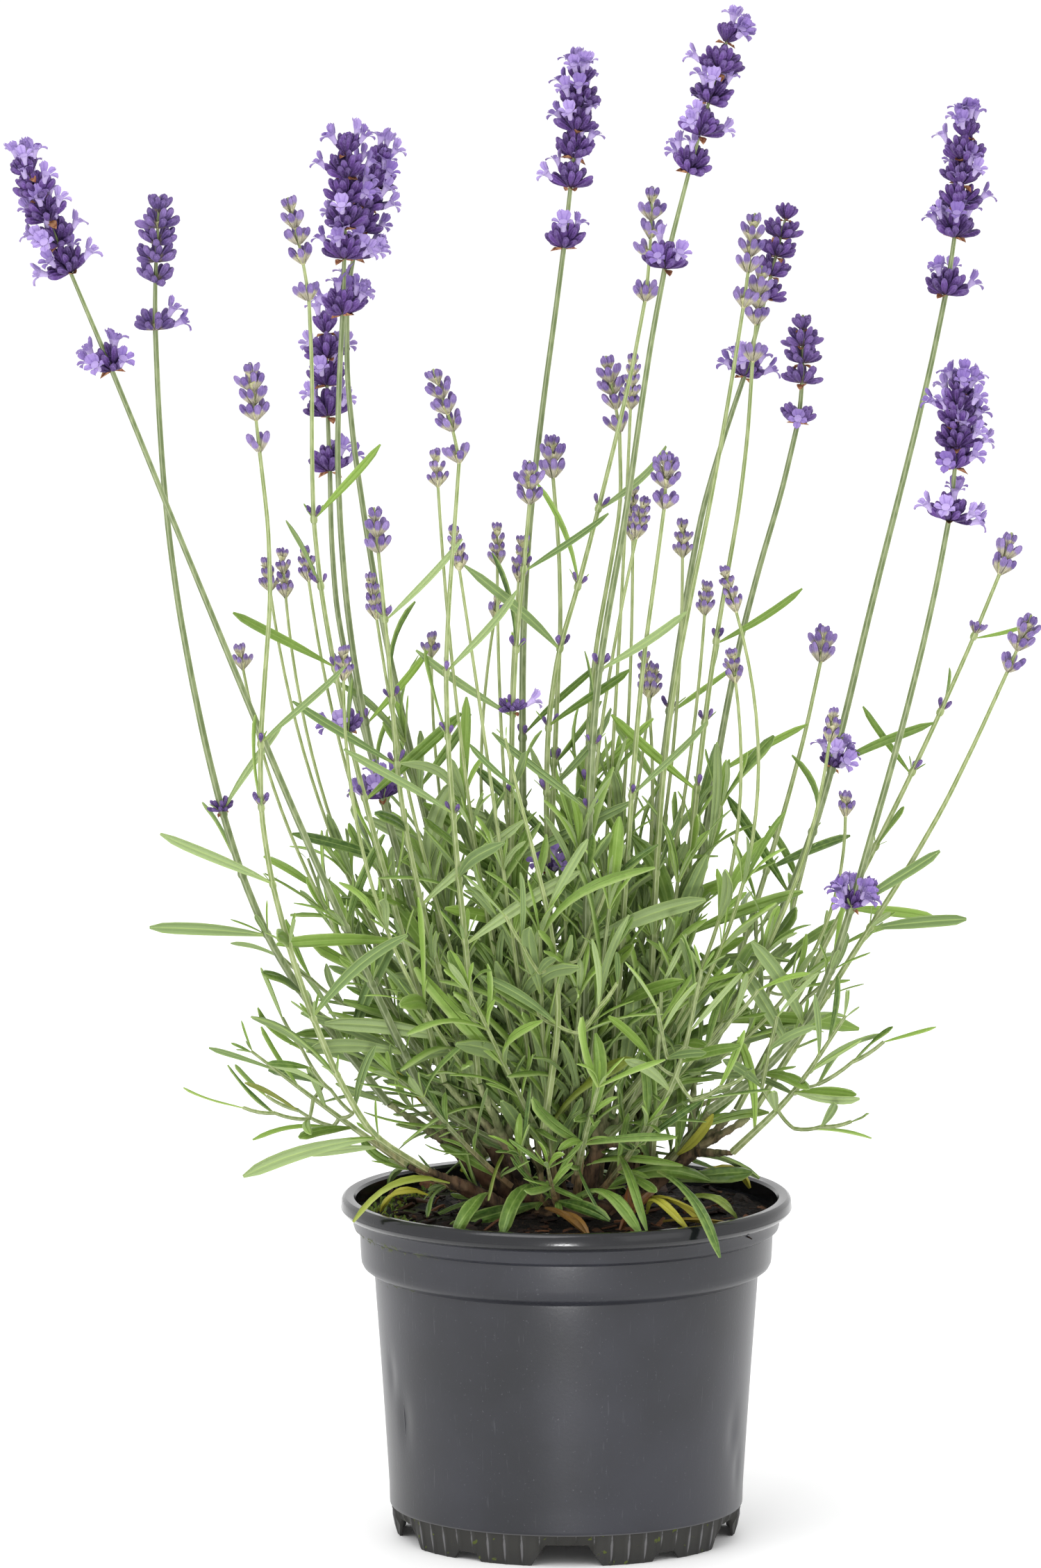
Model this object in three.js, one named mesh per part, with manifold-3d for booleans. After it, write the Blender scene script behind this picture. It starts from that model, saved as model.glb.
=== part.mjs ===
import * as THREE from "three";
import { mergeVertices } from "three/addons/utils/BufferGeometryUtils.js";
import Module from "manifold-3d";

// A lavender in flower in its plastic nursery pot: pot, soil, woody crown, flowering stalks with their
// leaf pairs, flower spikes, bud spikes and leafy shoots.
// Millimetres, +Z up. The origin is on the pot's axis, on the ground that the pot stands on.

const wasm = await Module();
wasm.setup();

const gap = 0.3; // clearance between two pieces that touch
const fineness = 0.02; // edges shorter than this are closed up

// ---------------------------------------------------------------- driving sizes

const pot = {
  height: 130,
  rimRadius: 85,
  rimWidth: 5.6,
  rimDepth: 6.6,
  rimStep: 4.6, // each step is how much less the next radius down is
  collarDepth: 5.4,
  collarStep: 3,
  bandDepth: 12,
  bandStep: 4.7,
  shoulder: 4.4,
  wallTaper: 6.5,
  skirtHeight: 12,
  skirtTaper: 2.8,
  wall: 1.2,
  segments: 36,
};
const base = {
  floorHeight: 8.6, // underside of the floor above the ground
  bossRadius: 8.5,
  bossFlare: 2.5,
  holeRadius: 5,
  holeCircle: 46,
};
const arch = { count: 5, height: 8, footWidth: 27, crownWidth: 16 };
const notch = { height: 3, footWidth: 12, crownWidth: 8 };
const rib = { count: 60, width: 1.1, proud: 0.9, buried: 0.5 };
const soil = { belowRim: 8, dome: 2.5, lump: 0.9, rings: 4 };
const collar = { radius: 24, depth: 28, rise: 6, segments: 10 };
const branch = { footRadius: 4.6, endRadius: 3, sides: 5, steps: 3, spread: 0.35 };
const twig = { startRadius: 2.4, endRadius: 1.8, sides: 4, steps: 1 };
const stalkSides = 4;
const stout = { footRadius: 1.7, topRadius: 1.15 }; // stalks of open spikes
const slim = { footRadius: 1.35, topRadius: 0.85 }; // stalks of bud spikes
const spike = { openRadius: 7.6, darkRadius: 6.4, budRadius: 4.4, neck: 0.34, sides: 7, whorl: 9 };
const leaf = { topLength: 38, fullLength: 50, slimness: 8.6, thickness: 1, spacing: 27, widest: 0.45, droop: 16 };
const shootStem = { footRadius: 1.5, topRadius: 0.8 };
const sideShoot = { length: 46, rise: 48, footRadius: 0.95, topRadius: 0.7, pairs: 3 };

// ---------------------------------------------------------------- the plant, measured from the soil

// Ends of the woody branches.
const branchEnds = {
  farLeft: [-43, -25, 15],
  left: [-42, -4, 24],
  backLeft: [-32, 10, 29],
  frontLeft: [-22, -19, 27],
  middle: [-6, 10, 29],
  front: [12, -13, 27],
  back: [30, 20, 27],
  right: [47, -3, 22],
};

// Flowering stalks: the branch each one grows from, the points it passes from its foot to the foot of its
// spike, the spike's tip, the spike's kind, its whorls, how far its lowest whorl stands off, and the height
// and heading of its topmost leaf pair.
const flowering = [
  { branch: "left", route: [[-51, -14, 40], [-95, -36, 141], [-145, -64, 268], [-168, -72, 327]],
    tip: [-203, -84, 413], kind: "open", whorls: 5, standOff: 40, leafTop: 118, heading: 20 },
  { branch: "left", route: [[-67, 0, 40], [-113, -7, 106], [-144, -20, 226], [-153, -26, 336]],
    tip: [-151, -29, 392], kind: "open", whorls: 5, standOff: 18, leafTop: 153, heading: 5 },
  { branch: "frontLeft", route: [[-46, -22, 52], [-82, -26, 187], [-94, -23, 258], [-96, -17, 346]],
    tip: [-105, -14, 390], kind: "bud", whorls: 4, standOff: 14, leafTop: 252, heading: 10 },
  { branch: "backLeft", route: [[-41, 0, 54], [-78, 11, 195], [-86, 17, 282], [-84, 20, 337]],
    tip: [-82, 25, 411], kind: "open", whorls: 5, standOff: 21, leafTop: 178, heading: 0 },
  { branch: "backLeft", route: [[-30, 20, 50], [-74, 52, 241], [-83, 64, 335]],
    tip: [-68, 72, 401], kind: "open", whorls: 5, standOff: 18, leafTop: 146, heading: 30 },
  { branch: "backLeft", route: [[-36, 36, 47], [-86, 82, 208], [-90, 97, 268]],
    tip: [-92, 107, 335], kind: "open", whorls: 4, standOff: 21, leafTop: 150, heading: 60 },
  { branch: "middle", route: [[-15, 22, 45], [-16, 42, 222], [-11, 52, 281], [-1, 61, 357]],
    tip: [7, 70, 433], kind: "open", whorls: 5, standOff: 23, leafTop: 182, heading: 0 },
  { branch: "front", route: [[6, -20, 52], [11, -32, 201], [21, -41, 264], [36, -46, 361]],
    tip: [63, -52, 462], kind: "open", whorls: 5, standOff: 37, leafTop: 194, heading: 0 },
  { branch: "right", route: [[48, 10, 47], [89, 24, 128], [117, 42, 231], [143, 49, 341]],
    tip: [152, 52, 414], kind: "open", whorls: 5, standOff: 22, leafTop: 152, heading: 0 },
  { branch: "right", route: [[53, -16, 40], [87, -25, 70], [115, -42, 154], [141, -64, 270]],
    tip: [145, -70, 329], kind: "open", whorls: 5, standOff: 20, leafTop: 116, heading: 10 },
  { branch: "back", route: [[22, 40, 47], [52, 96, 253], [68, 107, 303]],
    tip: [87, 122, 374], kind: "dark", whorls: 5, standOff: 31, leafTop: 170, heading: 40 },
  { branch: "back", route: [[38, 24, 50], [66, 54, 209], [88, 72, 290]],
    tip: [90, 78, 336], kind: "dark", whorls: 4, standOff: 15, leafTop: 148, heading: 15 },
  { branch: "front", route: [[30, -6, 49], [38, -3, 183], [56, 3, 280], [66, 6, 341]],
    tip: [71, 9, 381], kind: "bud", whorls: 4, standOff: 13, leafTop: 140, heading: 70 },
  { branch: "back", route: [[38, 6, 47], [54, 16, 199], [67, 29, 277], [70, 32, 318]],
    tip: [74, 38, 358], kind: "bud", whorls: 4, standOff: 14, leafTop: 202, heading: 0 },
  { branch: "middle", route: [[-4, -4, 49], [-6, -8, 197], [8, -12, 252], [29, -17, 346]],
    tip: [32, -20, 395], kind: "bud", whorls: 4, standOff: 16, leafTop: 252, heading: 35 },
  { branch: "middle", route: [[9, 6, 53], [9, 16, 194], [21, 26, 269], [20, 29, 291]],
    tip: [14, 32, 324], kind: "bud", whorls: 4, standOff: 9, leafTop: 160, heading: 20 },
  { branch: "farLeft", route: [[-52, -36, 21], [-73, -46, 36], [-112, -76, 150], [-109, -96, 258], [-113, -99, 300]],
    tip: [-117, -102, 337], kind: "bud", whorls: 4, standOff: 12, leafTop: 180, heading: 5 },
  { branch: "frontLeft", route: [[-33, -30, 53], [-45, -54, 204], [-42, -64, 263], [-40, -67, 292]],
    tip: [-51, -70, 332], kind: "bud", whorls: 4, standOff: 12, leafTop: 200, heading: 15 },
  { branch: "left", route: [[-35, -12, 42], [-61, -34, 154], [-66, -44, 213], [-70, -49, 256]],
    tip: [-72, -52, 278], kind: "bud", whorls: 3, standOff: 0, leafTop: 222, heading: 0 },
  { branch: "frontLeft", route: [[-20, -6, 49], [-20, -24, 200], [-14, -35, 272]],
    tip: [-14, -38, 293], kind: "bud", whorls: 3, standOff: 0, leafTop: 236, heading: 10 },
  { branch: "middle", route: [[-9, 14, 54], [-4, 26, 179], [-2, 34, 231], [-5, 38, 273]],
    tip: [-6, 41, 293], kind: "bud", whorls: 3, standOff: 0, leafTop: 150, heading: 50 },
  { branch: "front", route: [[17, -12, 50], [28, -30, 208], [36, -41, 271]],
    tip: [37, -44, 296], kind: "bud", whorls: 3, standOff: 8, leafTop: 168, heading: 25 },
  { branch: "right", route: [[64, 8, 36], [101, 25, 103], [134, 40, 167], [164, 54, 234]],
    tip: [170, 58, 254], kind: "bud", whorls: 3, standOff: 0, leafTop: 206, leafLength: 24, heading: 0 },
  { branch: "right", route: [[69, -6, 36], [111, -18, 106], [138, -27, 152], [164, -38, 210]],
    tip: [174, -42, 235], kind: "bud", whorls: 3, standOff: 9, leafTop: 108, heading: 0 },
  { branch: "back", route: [[51, 30, 46], [83, 63, 142], [97, 80, 197]],
    tip: [98, 85, 214], kind: "bud", whorls: 3, standOff: 0, leafTop: 132, heading: 20 },
];

// Leafy shoots without flowers: branch, route from foot to tip, heading of the lowest pair, leaf pairs.
const leafy = [
  { branch: "front", route: [[-9, -33, 34], [-3, -42, 91], [-23, -46, 186]], heading: 0, pairs: 6 },
  { branch: "farLeft", route: [[-60, -20, 20], [-92, -24, 44], [-118, -34, 66]], heading: 60, pairs: 5 },
  { branch: "backLeft", route: [[-52, 26, 36], [-78, 40, 76], [-98, 50, 126]], heading: 20, pairs: 6 },
  { branch: "right", route: [[62, -26, 26], [84, -38, 50], [104, -44, 81]], heading: 45, pairs: 5 },
  { branch: "back", route: [[60, 44, 36], [78, 56, 76], [92, 66, 126]], heading: 10, pairs: 6 },
  { branch: "front", route: [[28, -34, 31], [42, -48, 62], [50, -60, 101]], heading: 30, pairs: 5 },
  { branch: "middle", route: [[0, 38, 41], [2, 54, 96], [-2, 68, 156]], heading: 70, pairs: 6 },
];

// ---------------------------------------------------------------- materials

function finish(colour, roughness) {
  return new THREE.MeshStandardMaterial({ color: colour, roughness, metalness: 0 });
}

const materials = {
  pot: finish(0x3a3b40, 0.42),
  soil: finish(0x2a1f18, 0.95),
  bark: finish(0x7d6a4c, 0.85),
  stalk: finish(0x8ea866, 0.6),
  leaf: finish(0x5f8f3e, 0.6),
  open: finish(0x6a4fa8, 0.7),
  dark: finish(0x43357a, 0.7),
  bud: finish(0x7d72a8, 0.7),
};

// ---------------------------------------------------------------- solids and geometry

function solidOf(geometry) {
  const bare = geometry.clone();
  bare.deleteAttribute("normal");
  bare.deleteAttribute("uv");
  const merged = mergeVertices(bare, 1e-4);
  const triVerts = new Uint32Array(merged.index.array);
  const vertProperties = new Float32Array(merged.attributes.position.array);
  const solid = new wasm.Manifold(new wasm.Mesh({ numProp: 3, vertProperties, triVerts }));
  if (solid.volume() > 0) return solid;
  for (let i = 0; i < triVerts.length; i += 3) {
    [triVerts[i + 1], triVerts[i + 2]] = [triVerts[i + 2], triVerts[i + 1]];
  }
  return new wasm.Manifold(new wasm.Mesh({ numProp: 3, vertProperties, triVerts }));
}

function geometryOf(solid) {
  const mesh = solid.getMesh();
  const positions = new Float32Array(mesh.numVert * 3);
  for (let i = 0; i < mesh.numVert; i++) {
    positions.set(mesh.vertProperties.subarray(i * mesh.numProp, i * mesh.numProp + 3), i * 3);
  }
  const geometry = new THREE.BufferGeometry();
  geometry.setAttribute("position", new THREE.BufferAttribute(positions, 3));
  geometry.setIndex(new THREE.BufferAttribute(new Uint32Array(mesh.triVerts), 1));
  geometry.computeVertexNormals();
  return geometry;
}

// A solid of revolution about Z from [radius, height] points.
function turned(profile, segments) {
  const points = profile.map(([r, z]) => new THREE.Vector2(r, z));
  return new THREE.LatheGeometry(points, segments).rotateX(Math.PI / 2);
}

// Bends a geometry that stands along +Z onto a curve, from `start` along it. `up` settles how it is turned.
function bentAlong(geometry, curve, start, up) {
  const length = curve.getLength();
  const position = geometry.attributes.position;
  const vertex = new THREE.Vector3();
  for (let i = 0; i < position.count; i++) {
    vertex.fromBufferAttribute(position, i);
    const share = THREE.MathUtils.clamp((start + vertex.z) / length, 0, 1);
    const tangent = curve.getTangentAt(share);
    const side = new THREE.Vector3().crossVectors(up, tangent).normalize();
    const other = new THREE.Vector3().crossVectors(tangent, side);
    const point = curve.getPointAt(share).addScaledVector(side, vertex.x).addScaledVector(other, vertex.y);
    position.setXYZ(i, point.x, point.y, point.z);
  }
  return geometry;
}

// A rod along part of a curve, tapering evenly, with flat ends.
function rod(curve, start, end, startRadius, endRadius, sides, steps) {
  const profile = [[0, 0]];
  for (let i = 0; i <= steps; i++) {
    const share = i / steps;
    profile.push([THREE.MathUtils.lerp(startRadius, endRadius, share), share * (end - start)]);
  }
  profile.push([0, end - start]);
  return bentAlong(turned(profile, sides), curve, start, new THREE.Vector3(0, 1, 0));
}

// ---------------------------------------------------------------- pot

const rimFoot = pot.height - pot.rimDepth;
const collarFoot = rimFoot - pot.collarDepth;
const bandFoot = collarFoot - pot.bandDepth;
const wallTop = bandFoot - pot.shoulder;
const floorTop = base.floorHeight + pot.wall;

const collarRadius = pot.rimRadius - pot.rimStep;
const bandRadius = collarRadius - pot.collarStep;
const wallTopRadius = bandRadius - pot.bandStep;
const skirtRadius = wallTopRadius - pot.wallTaper;
const footRadius = skirtRadius - pot.skirtTaper;

// Outer radius of the wall between the skirt and the shoulder.
function wallRadius(z) {
  if (z < pot.skirtHeight) {
    return THREE.MathUtils.mapLinear(z, 0, pot.skirtHeight, footRadius, skirtRadius);
  }
  return THREE.MathUtils.mapLinear(z, pot.skirtHeight, wallTop, skirtRadius, wallTopRadius);
}

const potOutside = [
  [wallRadius(0), 0],
  [wallRadius(pot.skirtHeight), pot.skirtHeight],
  [wallTopRadius, wallTop],
  [bandRadius, bandFoot],
  [bandRadius + 0.5, collarFoot - 1],
  [collarRadius, collarFoot],
  [collarRadius + 0.4, rimFoot],
  [pot.rimRadius - 0.6, rimFoot + 1.4],
  [pot.rimRadius, rimFoot + 2.4],
  [pot.rimRadius, pot.height - 1.2],
  [pot.rimRadius - 1.2, pot.height],
];
const potInside = [
  [pot.rimRadius - pot.rimWidth + 1.2, pot.height],
  [pot.rimRadius - pot.rimWidth, pot.height - 1.4],
  [collarRadius - pot.wall, collarFoot + pot.wall],
  [bandRadius + 0.4 - pot.wall, collarFoot],
  [bandRadius - pot.wall, bandFoot + 0.6],
  [wallTopRadius - pot.wall, wallTop + 0.6],
  [wallRadius(floorTop) - pot.wall, floorTop],
];
const potFloor = [
  [base.bossRadius + base.bossFlare + pot.wall, floorTop],
  [base.bossRadius + pot.wall / 2, pot.wall],
  [0, pot.wall],
];
const potUnderside = [
  [0, 0],
  [base.bossRadius, 0],
  [base.bossRadius + base.bossFlare, base.floorHeight],
  [wallRadius(base.floorHeight) - pot.wall, base.floorHeight],
  [wallRadius(0) - pot.wall, 0],
];

// A trapezium that stands on the ground and is drawn out along +X, to cut an opening in the skirt.
function skirtCutter({ height, footWidth, crownWidth }) {
  const shape = new THREE.Shape([
    new THREE.Vector2(-footWidth / 2 - 0.5, -1),
    new THREE.Vector2(footWidth / 2 + 0.5, -1),
    new THREE.Vector2(crownWidth / 2, height),
    new THREE.Vector2(-crownWidth / 2, height),
  ]);
  return new THREE.ExtrudeGeometry(shape, { depth: 20, bevelEnabled: false })
    .rotateX(Math.PI / 2)
    .rotateZ(Math.PI / 2)
    .translate(footRadius - 8, 0, 0);
}

function skirtRib() {
  const foot = wallRadius(0);
  const head = wallRadius(pot.skirtHeight);
  const shape = new THREE.Shape([
    new THREE.Vector2(foot - rib.buried, 0),
    new THREE.Vector2(foot + rib.proud, 0),
    new THREE.Vector2(head + 0.1, pot.skirtHeight),
    new THREE.Vector2(head - rib.buried, pot.skirtHeight),
  ]);
  return new THREE.ExtrudeGeometry(shape, { depth: rib.width, bevelEnabled: false })
    .rotateX(Math.PI / 2)
    .translate(0, rib.width / 2, 0);
}

function makePot() {
  const front = -Math.PI / 2;
  let solid = solidOf(turned([...potUnderside, ...potOutside, ...potInside, ...potFloor], pot.segments));
  for (let i = 0; i < rib.count; i++) {
    const heading = front + ((i + 0.5) / rib.count) * 2 * Math.PI;
    solid = solid.add(solidOf(skirtRib().rotateZ(heading)));
  }
  for (let i = 0; i < arch.count; i++) {
    const heading = front + (i / arch.count) * 2 * Math.PI;
    const between = heading + Math.PI / arch.count;
    const hole = new THREE.CylinderGeometry(base.holeRadius, base.holeRadius, 4 * pot.wall, 8)
      .rotateX(Math.PI / 2)
      .translate(base.holeCircle, 0, base.floorHeight + pot.wall / 2);
    solid = solid
      .subtract(solidOf(skirtCutter(arch).rotateZ(heading)))
      .subtract(solidOf(skirtCutter(notch).rotateZ(between)))
      .subtract(solidOf(hole.rotateZ(heading)));
  }
  return solid;
}

// ---------------------------------------------------------------- soil and woody crown

const soilLevel = pot.height - soil.belowRim; // where the soil meets the pot
const plantFoot = soilLevel + soil.dome; // soil surface at the middle, which the plant is measured from

function crownCollar(grow) {
  const low = plantFoot - collar.depth;
  const profile = [
    [0, low - grow],
    [collar.radius * 0.55 + grow, low - grow],
    [collar.radius * 0.9 + grow, plantFoot - 8],
    [collar.radius + grow, plantFoot],
    [collar.radius * 0.75 + grow, plantFoot + collar.rise * 0.7],
    [0, plantFoot + collar.rise + grow],
  ];
  return solidOf(turned(profile, collar.segments));
}

function makeSoil() {
  const below = potInside.filter(([, z]) => z < soilLevel - 4).reverse();
  const edge = below.at(-1)[0] - gap;
  const profile = [[0, floorTop + gap]];
  for (const [r, z] of below) profile.push([r - 1.5 * gap, z + gap]);
  for (let i = 0; i <= soil.rings; i++) {
    const share = i / soil.rings;
    profile.push([(edge - gap) * (1 - share), soilLevel + soil.dome * Math.sin((share * Math.PI) / 2)]);
  }
  const geometry = turned(profile, pot.segments);
  const position = geometry.attributes.position;
  for (let i = 0; i < position.count; i++) {
    const [x, y, z] = [position.getX(i), position.getY(i), position.getZ(i)];
    if (z < soilLevel - 0.1) continue;
    const lump = Math.sin(x / 8) * Math.cos(y / 10) + 0.5 * Math.sin((x + y) / 5);
    position.setZ(i, z + soil.lump * lump * Math.min(1, Math.hypot(x, y) / collar.radius));
  }
  const hollows = [crownCollar(gap), ...woodyBranches(gap)];
  return hollows.reduce((whole, hollow) => whole.subtract(hollow), solidOf(geometry));
}

const onPlant = ([x, y, z]) => new THREE.Vector3(x, y, z + plantFoot);

function routeCurve(points) {
  const curve = new THREE.CatmullRomCurve3(points.map(onPlant), false, "centripetal");
  curve.arcLengthDivisions = 300;
  return curve;
}

function woodyBranches(grow) {
  const { footRadius, endRadius, sides, steps, spread } = branch;
  return Object.values(branchEnds).map(([x, y, z]) => {
    const curve = routeCurve([[x * spread, y * spread, -3], [x * 0.75, y * 0.75, z * 0.55], [x, y, z]]);
    return solidOf(rod(curve, 0, curve.getLength(), footRadius + grow, endRadius + grow, sides, steps));
  });
}

function makeCrown() {
  let solid = woodyBranches(0).reduce((whole, wood) => whole.add(wood), crownCollar(0));
  for (const shoot of [...flowering, ...leafy]) {
    const end = onPlant(branchEnds[shoot.branch]);
    const direction = routeCurve(shoot.route).getTangentAt(0);
    const foot = onPlant(shoot.route[0]);
    const reach = foot.distanceTo(end);
    const heel = end.clone().lerp(foot, -0.12);
    const curve = new THREE.QuadraticBezierCurve3(heel, foot.clone().addScaledVector(direction, -reach * 0.4), foot);
    const { startRadius, endRadius, sides, steps } = twig;
    solid = solid.add(solidOf(rod(curve, 0, curve.getLength(), startRadius, endRadius, sides, steps)));
  }
  return solid;
}

// ---------------------------------------------------------------- leaves

const placed = []; // every solid that a new leaf has to clear, with its box

function remember(name, solid) {
  placed.push({ name, solid, box: solid.boundingBox() });
}

function apart(a, b) {
  return [0, 1, 2].some((i) => a.min[i] > b.max[i] || b.min[i] > a.max[i]);
}

function isClear(solid, host) {
  const box = solid.boundingBox();
  return placed.every((other) => other.name === host || apart(box, other.box) ||
    solid.intersect(other.solid).isEmpty());
}

// A narrow blade with a diamond section: base on the stem, widest at mid-leaf, one tip.
function blade(curve, width, thickness, up) {
  const length = curve.getLength();
  const profile = [[0, 0], [0.42, 0], [1, leaf.widest * length], [0, length]];
  const flat = turned(profile, 4).scale(width / 2, thickness / 2, 1);
  return solidOf(bentAlong(flat, curve, 0, up));
}

// A bent arm that leaves a stem's curve at `along`, `rise` degrees off the stem, and ends `droop` degrees
// further out. `across` is square to the arm and to the stem.
function armOn(curve, along, heading, length, rise, droop) {
  const share = along / curve.getLength();
  const foot = curve.getPointAt(share);
  const stem = curve.getTangentAt(share);
  const turn = THREE.MathUtils.degToRad(heading);
  const out = new THREE.Vector3(Math.cos(turn), Math.sin(turn), 0);
  out.addScaledVector(stem, -out.dot(stem)).normalize();
  const towards = (degrees) => {
    const angle = THREE.MathUtils.degToRad(degrees);
    return stem.clone().multiplyScalar(Math.cos(angle)).addScaledVector(out, Math.sin(angle));
  };
  const middle = foot.clone().addScaledVector(towards(rise), length / 2);
  const tip = middle.clone().addScaledVector(towards(rise + droop), length / 2);
  return { arc: new THREE.QuadraticBezierCurve3(foot, middle, tip), across: stem.clone().cross(out) };
}

// A leaf of `length` on a stem. `extra` makes it larger all round.
function leafOn(curve, along, heading, length, rise, extra) {
  const { arc, across } = armOn(curve, along, heading, length + extra, rise, leaf.droop);
  const width = length / leaf.slimness + extra;
  return blade(arc, width, leaf.thickness + extra, across);
}

// Turns a leaf round its stem, and then shortens it, until it clears everything that is there.
const turns = [0, 14, -14, 28, -28, 44, -44, 62, -62, 84, -84];
const lengths = [1, 0.85, 0.7, 0.55, 0.4, 0.3];

function growLeaf(host, curve, along, heading, length, rise) {
  for (const share of lengths) {
    for (const turn of turns) {
      const room = leafOn(curve, along, heading + turn, length * share, rise, 2 * gap);
      if (!isClear(room, host)) continue;
      const solid = leafOn(curve, along, heading + turn, length * share, rise, 0);
      remember(`${host} leaf`, room);
      return solid;
    }
  }
  return null;
}

function addPair(leaves, host, curve, along, heading, length, rise) {
  for (const side of [0, 180]) {
    const grown = growLeaf(host, curve, along, heading + side, length, rise);
    if (grown) leaves.push(grown);
  }
}

// A short leafy shoot out of a stem, turned round the stem until it is clear.
function growSide(host, curve, along, heading) {
  const { length, rise, footRadius, topRadius, pairs } = sideShoot;
  for (const turn of turns) {
    const { arc } = armOn(curve, along, heading + turn, length, rise, -rise / 2);
    const end = arc.getLength();
    const room = solidOf(rod(arc, 0, end + gap, footRadius + gap, topRadius + gap, stalkSides, 2));
    if (!isClear(room, host)) continue;
    remember(host, room);
    const parts = [solidOf(rod(arc, 0, end, footRadius, topRadius, stalkSides, 2))];
    for (let i = 1; i <= pairs; i++) {
      const size = THREE.MathUtils.lerp(34, 24, i / pairs);
      addPair(parts, host, arc, (end * i * 0.97) / pairs, heading + 90 * i, size, 50 - 8 * i);
    }
    return parts;
  }
  return [];
}

// ---------------------------------------------------------------- stalks, spikes and shoots

// Distance along the curve to the point nearest `point`.
function lengthTo(curve, point) {
  const steps = 400;
  let best = 0;
  for (let i = 1; i <= steps; i++) {
    const nearer = curve.getPointAt(i / steps).distanceTo(point) < curve.getPointAt(best / steps).distanceTo(point);
    if (nearer) best = i;
  }
  return (best / steps) * curve.getLength();
}

const spikeRadius = { open: spike.openRadius, dark: spike.darkRadius, bud: spike.budRadius };

// A spike: one bulge for each whorl of flowers, widest near the whorl's top, on the stalk's own axis.
function makeSpike(curve, start, { kind, whorls, standOff }) {
  const length = curve.getLength() - start;
  const radius = spikeRadius[kind];
  const neck = radius * spike.neck;
  const feet = standOff > 0 ? [0] : [];
  const first = standOff;
  for (let i = 0; i < whorls; i++) {
    feet.push(first + (length - first - spike.whorl * 0.6) * (i / whorls) ** 0.9);
  }
  const profile = [[0, 0]];
  feet.forEach((foot, i) => {
    const next = feet[i + 1] ?? length;
    const rise = Math.min(spike.whorl, next - foot);
    const size = i === feet.length - 1 ? 0.75 : 1;
    profile.push([i === 0 ? 1 : neck, foot], [radius * size, foot + rise * 0.62]);
    if (next - foot > spike.whorl * 1.2 && i < feet.length - 1) profile.push([1, foot + rise]);
  });
  profile.push([0, length]);
  const sides = kind === "bud" ? spike.sides - 1 : spike.sides;
  return solidOf(bentAlong(turned(profile, sides), curve, start, new THREE.Vector3(0, 1, 0)));
}

const group = new THREE.Group();

function addNode(name, solid, material) {
  const mesh = new THREE.Mesh(geometryOf(solid.simplify(fineness)), material);
  mesh.name = name;
  group.add(mesh);
}

const potSolid = makePot();
const soilSolid = makeSoil();
const crownSolid = makeCrown();
remember("pot", potSolid);
remember("soil", soilSolid);
remember("crown", crownSolid);
addNode("pot", potSolid, materials.pot);
addNode("soil", soilSolid, materials.soil);
addNode("crown", crownSolid, materials.bark);

const number = (i) => String(i + 1).padStart(2, "0");
const stems = [];

flowering.forEach((plan, i) => {
  const curve = routeCurve([...plan.route, plan.tip]);
  const spikeFoot = lengthTo(curve, onPlant(plan.route.at(-1)));
  const size = plan.kind === "bud" ? slim : stout;
  const joints = Math.round(spikeFoot / leaf.spacing);
  const name = `stalk_${number(i)}`;
  const solid = solidOf(rod(curve, gap, spikeFoot, size.footRadius, size.topRadius, stalkSides, joints));
  const head = makeSpike(curve, spikeFoot + gap, plan);
  const kind = plan.kind === "bud" ? "bud_spike" : "flower_spike";
  stems.push({ name, solid, curve, plan, joints, spacing: spikeFoot / joints, material: materials.stalk });
  remember(name, solid);
  remember(`spike ${i}`, head);
  addNode(`${kind}_${number(i)}`, head, materials[plan.kind]);
});

leafy.forEach((plan, i) => {
  const curve = routeCurve(plan.route);
  const length = curve.getLength();
  const joints = plan.pairs + 1;
  const { footRadius, topRadius } = shootStem;
  const solid = solidOf(rod(curve, gap, length, footRadius, topRadius, stalkSides, joints));
  const name = `leafy_shoot_${i + 1}`;
  stems.push({ name, solid, curve, plan, joints, spacing: length / joints, material: materials.leaf });
  remember(name, solid);
});

// Leaf pairs sit on the stem's joints, each pair square to the next.
for (const { name, solid, curve, plan, joints, spacing, material } of stems) {
  const leaves = [];
  if (plan.pairs) {
    for (let i = 1; i <= plan.pairs; i++) {
      const share = (i - 1) / (plan.pairs - 1);
      const rise = THREE.MathUtils.lerp(56, 26, share);
      const length = THREE.MathUtils.lerp(38, 26, share);
      addPair(leaves, name, curve, i * spacing, plan.heading + 90 * i, length, rise);
    }
    for (const i of [1, 2]) {
      for (const side of [45, 225]) leaves.push(...growSide(name, curve, (i + 0.5) * spacing, side + 90 * i));
    }
  } else {
    const top = Math.round(lengthAtHeight(curve, plan.leafTop + plantFoot) / spacing);
    for (let i = 0; i < top; i++) {
      const length = Math.min((plan.leafLength ?? leaf.topLength) + 3 * i, leaf.fullLength);
      addPair(leaves, name, curve, (top - i) * spacing, plan.heading + 90 * i, length, 44 + 3 * i);
    }
  }
  addNode(name, leaves.reduce((whole, grown) => whole.add(grown), solid), material);
}

// Distance along a curve at which it first reaches a height.
function lengthAtHeight(curve, z) {
  let share = 0;
  while (share < 1 && curve.getPointAt(share).z < z) share += 0.004;
  return Math.min(share, 1) * curve.getLength();
}

export default group;
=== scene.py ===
import math
import random

import bmesh
import bpy
from mathutils import Matrix, Vector, noise
from mathutils.bvhtree import BVHTree


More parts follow.
